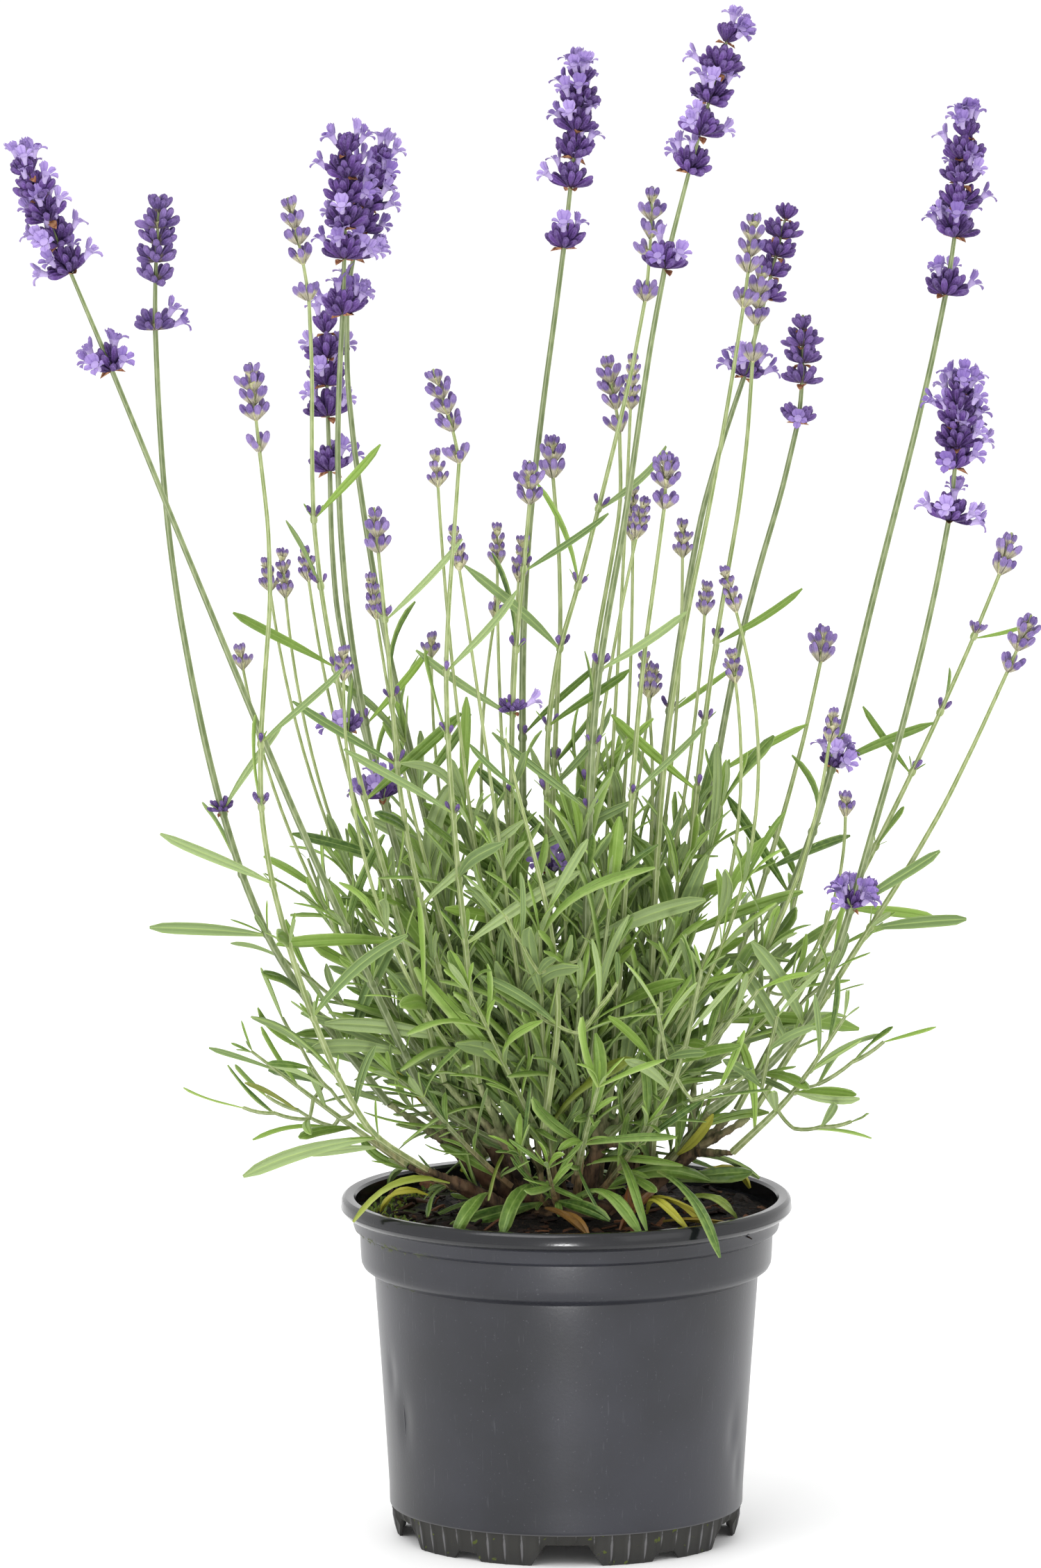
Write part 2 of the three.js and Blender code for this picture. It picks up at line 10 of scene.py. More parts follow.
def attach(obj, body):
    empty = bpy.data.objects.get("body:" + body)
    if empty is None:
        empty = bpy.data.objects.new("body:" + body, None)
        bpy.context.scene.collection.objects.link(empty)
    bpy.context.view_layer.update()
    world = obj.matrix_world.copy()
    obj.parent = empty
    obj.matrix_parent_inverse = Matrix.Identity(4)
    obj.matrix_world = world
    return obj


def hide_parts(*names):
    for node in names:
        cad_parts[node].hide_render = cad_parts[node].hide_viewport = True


# A lavender in flower in its plastic nursery pot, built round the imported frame.
# Metres, +Z up, the pot's axis at the origin and the camera on the -Y side.

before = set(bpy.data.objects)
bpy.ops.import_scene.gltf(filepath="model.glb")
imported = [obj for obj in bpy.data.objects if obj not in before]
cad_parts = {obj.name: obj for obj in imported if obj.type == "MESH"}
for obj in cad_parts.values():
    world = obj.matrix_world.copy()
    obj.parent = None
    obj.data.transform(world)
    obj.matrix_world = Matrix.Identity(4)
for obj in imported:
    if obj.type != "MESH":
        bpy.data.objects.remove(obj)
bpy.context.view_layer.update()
mm = 0.001


# Colours and materials.


def linear(channel):
    # A channel of a screen colour, 0 to 255, as an amount of light.
    if channel > 10:
        return ((channel / 255 + 0.055) / 1.055) ** 2.4
    return channel / 3295


def tint(red, green, blue):
    return (linear(red), linear(green), linear(blue), 1)


class Shade:
    # A shader socket that can be added, multiplied and so on.
    def __init__(self, paint, socket):
        self.paint = paint
        self.socket = socket

    def math(self, operation, *values):
        return self.paint.node("ShaderNodeMath", 0, {"operation": operation}, *values)

    def __add__(self, other):
        return self.math("ADD", self, other)

    def __radd__(self, other):
        return self.math("ADD", other, self)

    def __sub__(self, other):
        return self.math("SUBTRACT", self, other)

    def __rsub__(self, other):
        return self.math("SUBTRACT", other, self)

    def __mul__(self, other):
        return self.math("MULTIPLY", self, other)

    def __rmul__(self, other):
        return self.math("MULTIPLY", other, self)

    def __pow__(self, other):
        return self.math("POWER", self, other)

    def sharpen(self, low, high):
        # Runs smoothly from 0 at low to 1 at high.
        settings = {"interpolation_type": "SMOOTHSTEP"}
        return self.paint.node("ShaderNodeMapRange", 0, settings, self, low, high, 0, 1)

    def axis(self, index):
        return self.paint.node("ShaderNodeSeparateXYZ", index, {}, self)


class Paint:
    # A Principled material with helpers for its varying inputs.
    def __init__(self, name, **constants):
        self.material = bpy.data.materials.new(name)
        self.material.use_nodes = True
        self.tree = self.material.node_tree
        self.surface = self.tree.nodes["Principled BSDF"]
        for entry, value in constants.items():
            self.surface.inputs[entry.replace("_", " ")].default_value = value

    def plug(self, entry, value):
        if isinstance(value, Shade):
            self.tree.links.new(value.socket, entry)
        else:
            entry.default_value = value

    def node(self, kind, output, settings, *values, **named):
        made = self.tree.nodes.new(kind)
        for key, value in settings.items():
            setattr(made, key, value)
        for entry, value in zip(made.inputs, values):
            self.plug(entry, value)
        for key, value in named.items():
            self.plug(made.inputs[key], value)
        return Shade(self, made.outputs[output])

    def place(self, stretch=(1, 1, 1)):
        where = self.node("ShaderNodeTexCoord", "Object", {})
        return self.node("ShaderNodeMapping", 0, {}, Vector=where, Scale=stretch)

    def noise(self, scale, detail=3, stretch=(1, 1, 1), roughness=0.5):
        inputs = {"Vector": self.place(stretch), "Scale": scale, "Detail": detail, "Roughness": roughness}
        return self.node("ShaderNodeTexNoise", 0, {}, **inputs)

    def attribute(self, name, index):
        found = self.node("ShaderNodeAttribute", "Color", {"attribute_name": name})
        return self.node("ShaderNodeSeparateColor", index, {}, found)

    def mix(self, factor, first, second):
        made = self.tree.nodes.new("ShaderNodeMix")
        made.data_type = "RGBA"
        for index, value in ((0, factor), (6, first), (7, second)):
            self.plug(made.inputs[index], value)
        return Shade(self, made.outputs[2])

    def bump(self, height, distance, strength=1):
        relief = self.node("ShaderNodeBump", 0, {}, Height=height, Distance=distance, Strength=strength)
        self.plug(self.surface.inputs["Normal"], relief)

    def set(self, entry, value):
        self.plug(self.surface.inputs[entry], value)


# Heights and radii where the pot's colour changes; the skirt zones also hold the painted highlight on the
# ribs and the painted shade between them.
potColourZones = {
    "skirtTop": (0.0128, 0.0118),  # where the moulded skirt ends
    "skirtFoot": 0.0634,
    "skirtSlope": 0.167,
    "ribProud": (0.0003, 0.0007),
    "rimFoot": (0.1228, 0.1238),
    "grimeTop": (0.004, 0.010),
    "mossLeft": (-0.045, -0.066),
}


def makePotPlastic():
    paint = Paint("PotPlastic", Specular_IOR_Level=0.52)
    height = paint.place().axis(2)
    side = paint.place().axis(0)
    depth = paint.place().axis(1)
    radius = (side * side + depth * depth) ** 0.5
    cloudy = paint.noise(14, 4)
    specks = paint.noise(1100, 2).sharpen(0.68, 0.76)
    scratches = paint.noise(60, 5, (14, 14, 1)).sharpen(0.64, 0.76)
    skirt = height.sharpen(*potColourZones["skirtTop"])
    proud = radius - potColourZones["skirtFoot"] - potColourZones["skirtSlope"] * height
    ribs = skirt * proud.sharpen(*potColourZones["ribProud"])
    recess = skirt - ribs
    rim = height.sharpen(*potColourZones["rimFoot"])
    grime = recess * (height + 0.006 * paint.noise(180, 3)).sharpen(*potColourZones["grimeTop"])
    plastic = paint.mix(cloudy.sharpen(0.3, 0.7), tint(22, 23, 29), tint(38, 39, 47))
    plastic = paint.mix(specks * 0.25 + scratches * 0.12, plastic, tint(104, 104, 110))
    plastic = paint.mix(rim * 0.85, plastic, tint(10, 11, 14))
    # Painted highlight: the raised ribs of the skirt are painted light grey, as if light caught them.
    plastic = paint.mix(ribs * 0.9, plastic, tint(92, 91, 92))
    # Painted shade: the hollows between the ribs are painted darker, as if in shadow.
    plastic = paint.mix(recess * 0.95, plastic, tint(20, 19, 16))
    plastic = paint.mix(grime * 0.5, plastic, tint(34, 33, 27))
    tufts = paint.noise(300, 4)
    underRim = height.sharpen(0.1150, 0.1166) * height.sharpen(0.1192, 0.1178)
    underBand = height.sharpen(0.0985, 0.1) * height.sharpen(0.1035, 0.102)
    left = side.sharpen(*potColourZones["mossLeft"])
    moss = left * (underRim * tufts.sharpen(0.54, 0.6) + underBand * tufts.sharpen(0.6, 0.64))
    moss = moss + recess * tufts.sharpen(0.66, 0.7)
    paint.set("Base Color", paint.mix(moss, plastic, tint(70, 78, 32)))
    paint.set("Roughness", 0.26 + 0.08 * cloudy - 0.14 * rim + 0.3 * skirt + 0.4 * moss + 0.1 * specks)
    paint.bump(paint.noise(900, 3) * 0.5 + scratches * 0.5 + moss * 3 + 0.5 * tufts * recess, 0.0001, 0.5)
    return paint.material


def makeSoilPaint():
    paint = Paint("Compost", Roughness=0.95, Specular_IOR_Level=0.25)
    coarse = paint.noise(160, 6, roughness=0.65)
    fine = paint.noise(900, 4)
    earth = paint.mix(coarse.sharpen(0.35, 0.62), tint(10, 10, 10), tint(32, 26, 22))
    earth = paint.mix(fine.sharpen(0.62, 0.72), earth, tint(74, 56, 40))
    mossy = paint.place().axis(0).sharpen(-0.035, -0.07) * paint.noise(70, 3).sharpen(0.45, 0.58)
    paint.set("Base Color", paint.mix(mossy * 0.8, earth, tint(74, 86, 34)))
    paint.bump(coarse * 2 + fine, 0.0015)
    return paint.material


def makeChipPaint():
    paint = Paint("BarkChips", Roughness=0.85, Specular_IOR_Level=0.3)
    tone = paint.attribute("tone", 0)
    grain = paint.noise(500, 4, (1, 1, 3))
    wood = paint.mix(tone.sharpen(0.2, 0.95), tint(26, 19, 16), tint(112, 74, 48))
    paint.set("Base Color", paint.mix(grain.sharpen(0.4, 0.7) * 0.5, wood, tint(60, 38, 26)))
    paint.bump(grain, 0.0006)
    return paint.material


def makeWoodPaint():
    paint = Paint("WoodyBark", Roughness=0.85, Specular_IOR_Level=0.3)
    height = paint.place().axis(2)
    fissures = paint.noise(260, 5, (1, 1, 0.28), 0.6)
    flakes = paint.noise(90, 3)
    wood = paint.mix(fissures.sharpen(0.36, 0.62), tint(36, 26, 20), tint(92, 72, 52))
    wood = paint.mix(flakes.sharpen(0.55, 0.7) * 0.5, wood, tint(84, 50, 34))
    young = paint.mix(fissures.sharpen(0.4, 0.6), tint(118, 128, 84), tint(158, 164, 120))
    greener = (height + 0.03 * flakes).sharpen(0.158, 0.188)
    paint.set("Base Color", paint.mix(greener, wood, young))
    paint.bump(fissures, 0.0012)
    return paint.material


def makeStemPaint():
    paint = Paint("GreenStem", Roughness=0.6, Specular_IOR_Level=0.35)
    tone = paint.attribute("tone", 0)
    ridge = paint.attribute("place", 0)
    mottle = paint.noise(500, 3, (1, 1, 0.3))
    old = paint.mix(mottle.sharpen(0.4, 0.62), tint(92, 106, 68), tint(120, 132, 92))
    young = paint.mix(mottle.sharpen(0.4, 0.62), tint(124, 140, 80), tint(150, 162, 108))
    green = paint.mix(tone, old, young)
    pale = paint.mix(tone, tint(158, 166, 134), tint(180, 188, 144))
    green = paint.mix(ridge.sharpen(0.45, 1) * 0.75, green, pale)
    height = paint.place().axis(2) + 0.03 * paint.noise(60, 2)
    bark = paint.mix(mottle.sharpen(0.4, 0.6), tint(78, 54, 38), tint(126, 94, 66))
    paint.set("Base Color", paint.mix(height.sharpen(0.176, 0.148) * 0.85, green, bark))
    paint.bump(mottle, 0.0003, 0.6)
    return paint.material


def makeLeafPaint():
    paint = Paint("Leaf", Specular_IOR_Level=0.3)
    tone = paint.attribute("tone", 0)
    under = paint.attribute("place", 2)
    yellowing = paint.attribute("tone", 2)
    across = paint.attribute("place", 0)
    along = paint.attribute("place", 1)
    mottle = paint.noise(420, 4)
    upper = paint.mix(tone, tint(54, 82, 28), tint(126, 156, 66))
    upper = paint.mix(mottle.sharpen(0.4, 0.65) * 0.25, upper, tint(126, 152, 72))
    lower = paint.mix(tone, tint(100, 124, 72), tint(152, 170, 118))
    green = paint.mix(under, upper, lower)
    margin = across.sharpen(0.72, 1) * 0.4
    midrib = across.sharpen(0.16, 0) * (0.35 + under * 0.3)
    green = paint.mix(margin + midrib, green, tint(160, 180, 106))
    green = paint.mix(along.sharpen(0.16, 0) * 0.5, green, tint(150, 168, 88))
    dying = paint.mix(yellowing.sharpen(0.55, 1), tint(150, 146, 46), tint(104, 64, 34))
    paint.set("Base Color", paint.mix(yellowing.sharpen(0.05, 0.6), green, dying))
    paint.set("Roughness", 0.4 + 0.22 * under + 0.1 * mottle)
    paint.bump(mottle + 0.8 * paint.noise(1600, 2), 0.00022, 0.7)
    return paint.material


def makeCalyxPaint():
    paint = Paint("Calyx", Roughness=0.65, Specular_IOR_Level=0.14, Sheen_Weight=0.06, Sheen_Roughness=0.35)
    paint.set("Sheen Tint", (0.78, 0.66, 1, 1))
    tone = paint.attribute("tone", 0)
    young = paint.attribute("tone", 1)
    along = paint.attribute("place", 1)
    ribs = paint.attribute("place", 0)
    wool = paint.noise(1500, 3)
    violet = paint.mix(tone, tint(44, 24, 68), tint(98, 66, 136))
    lilac = paint.mix(tone, tint(92, 74, 130), tint(148, 130, 180))
    colour = paint.mix(young, violet, lilac)
    # Woolly hairs lighten the calyx at random, and the ribs get a painted highlight.
    colour = paint.mix(wool.sharpen(0.5, 0.68) * 0.28 + ribs * 0.16, colour, tint(148, 122, 188))
    # Painted highlight: the tip of each calyx is painted lighter.
    colour = paint.mix(along.sharpen(0.78, 1) * 0.4, colour, tint(150, 126, 190))
    woolly = paint.mix(young, tint(112, 80, 84), tint(186, 180, 152))
    reach = 0.1 + 0.42 * young
    foot = (along + 0.12 * wool - reach).sharpen(0.2, -0.04)
    paint.set("Base Color", paint.mix(foot * (0.6 + 0.3 * young), colour, woolly))
    paint.bump(wool + ribs * 1.5, 0.0003)
    return paint.material


def makePetalPaint():
    paint = Paint("Petal", Roughness=0.6, Specular_IOR_Level=0.2, Sheen_Weight=0.1, Sheen_Roughness=0.5)
    tone = paint.attribute("tone", 0)
    across = paint.attribute("place", 0)
    along = paint.attribute("place", 1)
    lilac = paint.mix(tone, tint(128, 104, 170), tint(172, 152, 206))
    lilac = paint.mix(across.sharpen(0.35, 0) * 0.4, lilac, tint(100, 74, 150))
    paint.set("Base Color", paint.mix(along.sharpen(0.5, 0.1) * 0.5, lilac, tint(200, 186, 220)))
    paint.bump(paint.noise(1200, 3), 0.0003)
    return paint.material


def makeBractPaint():
    paint = Paint("Bract", Roughness=0.8, Specular_IOR_Level=0.2)
    young = paint.attribute("tone", 1)
    veins = paint.noise(900, 3, (1, 1, 0.3))
    papery = paint.mix(veins.sharpen(0.4, 0.65), tint(128, 78, 54), tint(186, 138, 100))
    fresh = paint.mix(veins.sharpen(0.4, 0.65), tint(162, 162, 116), tint(198, 194, 158))
    paint.set("Base Color", paint.mix(young, papery, fresh))
    paint.bump(veins, 0.0003)
    return paint.material


potPlastic = makePotPlastic()
soilPaint = makeSoilPaint()
chipPaint = makeChipPaint()
woodPaint = makeWoodPaint()
stemPaint = makeStemPaint()
leafPaint = makeLeafPaint()
calyxPaint = makeCalyxPaint()
petalPaint = makePetalPaint()
bractPaint = makeBractPaint()
print("materials", len(bpy.data.materials))


# Meshes.


def newMesh():
    bm = bmesh.new()
    bm.verts.layers.float_color.new("tone")
    bm.verts.layers.float_color.new("place")
    return bm


def asTemplate(bm, name):
    mesh = bpy.data.meshes.new(name)
    bm.to_mesh(mesh)
    bm.free()
    return mesh


def addPiece(name, bm, material, slot, replaced=(), angle=50):
    bmesh.ops.recalc_face_normals(bm, faces=bm.faces)
    mesh = bpy.data.meshes.new(name)
    bm.to_mesh(mesh)
    bm.free()
    mesh.materials.append(material)
    mesh.shade_smooth()
    mesh.set_sharp_from_angle(angle=math.radians(angle))
    piece = bpy.data.objects.new(name, mesh)
    bpy.context.scene.collection.objects.link(piece)
    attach(piece, "root")
    if replaced:
        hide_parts(*replaced)
    return piece


def addCopy(bm, template, shape, tone):
    # Adds a copy of a template, its points moved by shape and its tone set.
    start = len(bm.verts)
    bm.from_mesh(template)
    bm.verts.ensure_lookup_table()
    layer = bm.verts.layers.float_color["tone"]
    for vert in bm.verts[start:]:
        vert.co = shape(vert.co)
        vert[layer] = (*tone, 1)


def frameAlong(direction, hint):
    # Axes with z along direction and y as near to hint as it can be.
    forward = direction.normalized()
    side = hint.cross(forward)
    if side.length < 1e-6:
        side = forward.orthogonal()
    side.normalize()
    return Matrix((side, forward.cross(side), forward)).transposed()


def sideways(direction, heading):
    # A direction square to the given one, turned about it by heading.
    return Matrix.Rotation(heading, 3, direction) @ direction.orthogonal().normalized()


def pathLength(path):
    return sum((b - a).length for a, b in zip(path, path[1:]))


def smoothPath(path, times):
    for _ in range(times):
        middle = [(a + 2 * b + c) / 4 for a, b, c in zip(path, path[1:], path[2:])]
        path = [path[0], *middle, path[-1]]
    return path


def resample(path, count):
    lengths = [0]
    for a, b in zip(path, path[1:]):
        lengths.append(lengths[-1] + (b - a).length)
    points = []
    index = 0
    for i in range(count):
        wanted = lengths[-1] * i / (count - 1)
        while index < len(path) - 2 and lengths[index + 1] < wanted:
            index += 1
        share = (wanted - lengths[index]) / max(lengths[index + 1] - lengths[index], 1e-9)
        points.append(path[index].lerp(path[index + 1], min(share, 1)))
    return points


def arc(start, handle, end, count):
    points = []
    for i in range(count):
        t = i / (count - 1)
        points.append(start * (1 - t) ** 2 + handle * 2 * t * (1 - t) + end * t * t)
    return points


tube = {"sides": 8, "groove": 0.8}


def addTube(bm, path, radii, tone):
    # A stem along a path, with ridges at every second corner.
    starts = [path[0], *path]
    ends = [*path[1:], path[-1] * 2 - path[-2]]
    directions = [(b - a).normalized() for a, b in zip(starts, ends)]
    directions[0] = directions[1]
    ring = bmesh.ops.create_circle(bm, segments=tube["sides"], radius=1, cap_ends=False)["verts"]
    tones = bm.verts.layers.float_color["tone"]
    places = bm.verts.layers.float_color["place"]
    for i, vert in enumerate(ring):
        ridge = 1 - i % 2
        vert.co *= 1 if ridge else tube["groove"]
        vert[tones] = (tone, 0, 0, 1)
        vert[places] = (ridge, 0, 0, 1)
    hint = Vector((0.3, 1, 0.1))
    matrices = []
    for point, direction, radius in zip(path, directions, radii):
        turn = frameAlong(direction, hint)
        hint = turn.col[1].copy()
        scale = Matrix.Diagonal((radius, radius, radius, 1))
        matrices.append(Matrix.Translation(point) @ turn.to_4x4() @ scale)
    bmesh.ops.transform(bm, matrix=matrices[0], verts=ring)
    edges = list({edge for vert in ring for edge in vert.link_edges})
    bmesh.ops.contextual_create(bm, geom=edges)
    for before, after in zip(matrices, matrices[1:]):
        made = bmesh.ops.extrude_edge_only(bm, edges=edges)["geom"]
        ring = [item for item in made if isinstance(item, bmesh.types.BMVert)]
        edges = [item for item in made if isinstance(item, bmesh.types.BMEdge)]
        edges = [edge for edge in edges if edge.verts[0] in ring and edge.verts[1] in ring]
        bmesh.ops.transform(bm, matrix=after @ before.inverted(), verts=ring)
    bmesh.ops.contextual_create(bm, geom=edges)


# Small shapes that are repeated.


leafShape = {
    "relief": (-0.16, 0.1, -0.3),  # height at the midrib, the middle of each half and the margin
    "widest": 0.6,
    "foot": 0.2,
    "tip": 0.22,
    "thick": 0.22,
}


def makeLeafTemplate():
    # x runs from -1 to 1 across the blade, y from 0 to 1 along it, z is the height over its mid-plane.
    bm = newMesh()
    bmesh.ops.create_grid(bm, x_segments=4, y_segments=8, size=1)
    places = bm.verts.layers.float_color["place"]
    widest = leafShape["widest"]
    foot, end = leafShape["foot"], leafShape["tip"]
    for vert in bm.verts:
        column = round(vert.co.x * 2)
        along = (vert.co.y + 1) / 2
        along = along ** 0.85 if along < 1 else 1
        if along < widest:
            width = foot + (1 - foot) * math.sin(along / widest * math.pi / 2)
        else:
            width = end + (1 - end) * math.sqrt(max(0, 1 - ((along - widest) / (1 - widest)) ** 3))
        vert[places] = (abs(vert.co.x), along, 0, 1)
        vert.co = (vert.co.x * width, along, leafShape["relief"][abs(column)] * width)
    top = set(bm.verts)
    bmesh.ops.solidify(bm, geom=list(bm.faces), thickness=leafShape["thick"])
    for vert in bm.verts:
        if vert not in top:
            across, along, _, _ = vert[places]
            vert[places] = (across, along, 1, 1)
    bmesh.ops.recalc_face_normals(bm, faces=bm.faces)
    return asTemplate(bm, "LeafTemplate")


def spinProfile(bm, profile, sides):
    # A full turn of a profile of (radius, height) about the z axis.
    rim = [bm.verts.new((radius, 0, height)) for radius, height in profile]
    edges = [bm.edges.new(pair) for pair in zip(rim, rim[1:])]
    line = rim + edges
    bmesh.ops.spin(bm, geom=line, cent=(0, 0, 0), axis=(0, 0, 1), angle=math.tau, steps=sides, use_merge=True)
    bmesh.ops.remove_doubles(bm, verts=bm.verts, dist=1e-6)


calyxShape = {
    "profile": [  # radius, height
        (0, 0), (0.3, 0.02), (0.5, 0.2), (0.82, 0.46), (1, 0.7), (0.84, 0.87), (0.44, 0.97), (0, 1),
    ],
    "sides": 10,
    "groove": 0.9,
}


def makeCalyxTemplate():
    # z runs from 0 to 1 along the calyx, and its greatest radius is 1.
    bm = newMesh()
    sides = calyxShape["sides"]
    spinProfile(bm, calyxShape["profile"], sides)
    places = bm.verts.layers.float_color["place"]
    for vert in bm.verts:
        column = round(math.atan2(vert.co.y, vert.co.x) / math.tau * sides) % sides
        ridge = 1 - column % 2
        if not ridge:
            vert.co.x *= calyxShape["groove"]
            vert.co.y *= calyxShape["groove"]
        vert[places] = (ridge, vert.co.z, 0, 1)
    bmesh.ops.recalc_face_normals(bm, faces=bm.faces)
    return asTemplate(bm, "CalyxTemplate")


flowerShape = {
    "tube": [(0.11, 0), (0.13, 0.25), (0.2, 0.5), (0, 0.47)],
    "lobes": [  # heading, length, flare, half width: two lobes above and three below
        (60, 0.46, 26, 0.25),
        (120, 0.46, 26, 0.25),
        (200, 0.36, 66, 0.19),
        (270, 0.42, 78, 0.23),
        (340, 0.36, 66, 0.19),
    ],
}


def makeFlowerTemplate():
    # A two-lipped flower on a short tube, about 1 long, its mouth towards +z.
    bm = newMesh()
    places = bm.verts.layers.float_color["place"]
    spinProfile(bm, flowerShape["tube"], 8)
    for vert in bm.verts:
        vert[places] = (1, vert.co.z * 0.6, 0, 1)
    for heading, length, flare, half in flowerShape["lobes"]:
        turn = Matrix.Rotation(math.radians(heading), 3, "Z")
        made = bmesh.ops.create_grid(bm, x_segments=4, y_segments=4, size=1)["verts"]
        for vert in made:
            across, along = vert.co.x, (vert.co.y + 1) / 2
            belly = 0.55 + 0.9 * along - 0.55 * along * along
            width = half * belly * math.sqrt(max(0, 1.02 - along ** 5))
            bend = math.radians(flare) * (0.4 + 0.6 * along)
            out = 0.18 + length * along * math.sin(bend)
            rise = 0.46 + length * along * math.cos(bend) - 0.05 * math.cos(across * math.pi) * along
            vert[places] = (abs(across), 0.4 + 0.6 * along, 0, 1)
            vert.co = turn @ Vector((out, across * width, rise))
    return asTemplate(bm, "FlowerTemplate")


def makeBractTemplate():
    # A cupped scale, y from 0 to 1 along it, hollow towards +z.
    bm = newMesh()
    bmesh.ops.create_grid(bm, x_segments=4, y_segments=4, size=1)
    for vert in bm.verts:
        across, along = vert.co.x, (vert.co.y + 1) / 2
        if along < 0.45:
            width = 0.25 + 0.75 * math.sin(along / 0.45 * math.pi / 2)
        else:
            width = 1 - ((along - 0.45) / 0.56) ** 1.6
        vert.co = (across * width, along, 0.35 * (across * width) ** 2)
    return asTemplate(bm, "BractTemplate")


def makeChipTemplate():
    bm = newMesh()
    bmesh.ops.create_cube(bm, size=2)
    edges = list(bm.edges)
    bmesh.ops.bevel(bm, geom=edges, offset=0.35, affect="EDGES", segments=1, profile=0.5, material=-1)
    return asTemplate(bm, "ChipTemplate")


leafTemplate = makeLeafTemplate()
calyxTemplate = makeCalyxTemplate()
flowerTemplate = makeFlowerTemplate()
bractTemplate = makeBractTemplate()
chipTemplate = makeChipTemplate()


def addLeaf(bm, path, upper, width, tone, yellowing, twist=0, ripple=0):
    # A leaf along a path of points, its upper face towards upper.
    count = len(path) - 1
    turns = []
    for a, b in zip(path, path[1:]):
        turns.append(frameAlong(b - a, upper))
    turns.append(turns[-1])

    def shape(co):
        along = min(max(co.y, 0), 1) * count
        index = min(int(along), count - 1)
        share = along - index
        centre = path[index].lerp(path[index + 1], share)
        turn = turns[index].lerp(turns[index + 1], share)
        angle = twist * co.y
        x = co.x * math.cos(angle) - co.z * math.sin(angle)
        z = co.x * math.sin(angle) + co.z * math.cos(angle)
        z += ripple * math.sin(co.y * 9 + co.x * 2)
        return centre + turn.col[0] * (x * width / 2) + turn.col[1] * (z * width / 2)

    addCopy(bm, leafTemplate, shape, (tone, 0, yellowing))


def addOrgan(bm, template, point, direction, hint, length, radius, tone, young=0, bend=0):
    # A calyx or flower whose own z axis points in direction, curving towards hint.
    turn = frameAlong(direction, hint)

    def shape(co):
        y = co.y * radius + bend * co.z * co.z * length
        return point + turn @ Vector((co.x * radius, y, co.z * length))

    addCopy(bm, template, shape, (tone, young, 0))


def addBract(bm, point, direction, hint, length, width, young):
    # The blade points in direction and its hollow faces hint.
    turn = frameAlong(direction, hint)

    def shape(co):
        return point + turn @ Vector((co.x * width, co.z * width * 2, co.y * length))

    addCopy(bm, bractTemplate, shape, (0.5, young, 0))


# Reading the frame.


def readNode(name):
    bm = bmesh.new()
    bm.from_mesh(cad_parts[name].data)
    bmesh.ops.remove_doubles(bm, verts=bm.verts, dist=1e-6)
    return bm


def average(verts):
    total = Vector()
    for vert in verts:
        total += vert.co
    return total / len(verts)


reading = {
    "tipLength": 5 * mm,
    "tipAngle": 0.35,
    "stemStep": 3 * mm,
    "stemLimit": 400,
    "leans": (0, 0.12, 0.24, 0.36),
    "skin": 0.05 * mm,
}


def readLeaves(bm):
    # Every blade ends in a sharp tip with four long edges to the ring at its widest.
    leaves = []
    for tip in bm.verts:
        ring = [edge.other_vert(tip) for edge in tip.link_edges]
        if len(ring) != 4 or min((vert.co - tip.co).length for vert in ring) < reading["tipLength"]:
            continue
        middle = average(ring)
        if any((vert.co - tip.co).angle(middle - tip.co) > reading["tipAngle"] for vert in ring):
            continue
        ring.sort(key=lambda vert: -(vert.co - middle).length)
        beyond = {edge.other_vert(vert) for vert in ring for edge in vert.link_edges} - set(ring) - {tip}
        if not beyond:
            continue
        across = ring[0].co - ring[1].co
        upper = across.cross(tip.co - middle).normalized()
        if upper.z < 0:
            upper = -upper
        leaf = {"foot": average(beyond), "middle": middle, "tip": tip.co.copy()}
        leaf["upper"] = upper
        leaf["width"] = across.length
        leaves.append(leaf)
    return leaves


def clearWay(tree, point, direction, reach):
    # The direction nearest the given one in which the inside of a stem goes on.
    side = direction.orthogonal().normalized()
    for lean in reading["leans"]:
        for i in range(8 if lean else 1):
            turned = direction * math.cos(lean) + side * math.sin(lean)
            turned = Matrix.Rotation(math.tau * i / 8, 3, direction) @ turned
            hit = tree.ray_cast(point, turned)
            if hit[0] is None or hit[3] > reach:
                return turned
    return direction


def traceStem(bm):
    # Follows the middle of a stem from the end that is nearest the crown.
    step = reading["stemStep"]
    tree = BVHTree.FromBMesh(bm)
    first = min(bm.verts, key=lambda vert: crownTree.find_nearest(vert.co)[3])
    ring = sorted(bm.verts, key=lambda vert: (vert.co - first.co).length)[:4]
    point = average(ring)
    radius = (ring[3].co - ring[0].co).length / 2
    direction = Vector()
    for vert in ring:
        for edge in vert.link_edges:
            if edge.calc_length() > reading["tipLength"]:
                direction += (edge.other_vert(vert).co - vert.co).normalized()
    direction.normalize()
    path = [point]
    while len(path) < reading["stemLimit"]:
        direction = clearWay(tree, path[-1] + direction * reading["skin"], direction, step * 1.4)
        ahead = tree.ray_cast(path[-1] + direction * reading["skin"], direction)
        if ahead[0] is not None and ahead[3] < step * 1.05:
            path.append(path[-1] + direction * ahead[3])
            break
        point = path[-1] + direction * step
        side = direction.orthogonal().normalized()
        shift = Vector()
        for i in range(4):
            axis = Matrix.Rotation(math.pi * i / 4, 3, direction) @ side
            there = tree.ray_cast(point, axis)[3]
            back = tree.ray_cast(point, -axis)[3]
            if there and back and there + back < radius * 2.7:
                shift += axis * (there - back) / 4
        if shift.length < radius:
            point = point + shift
        path.append(point)
        direction = (point - path[max(0, len(path) - 4)]).normalized()
    return path, radius


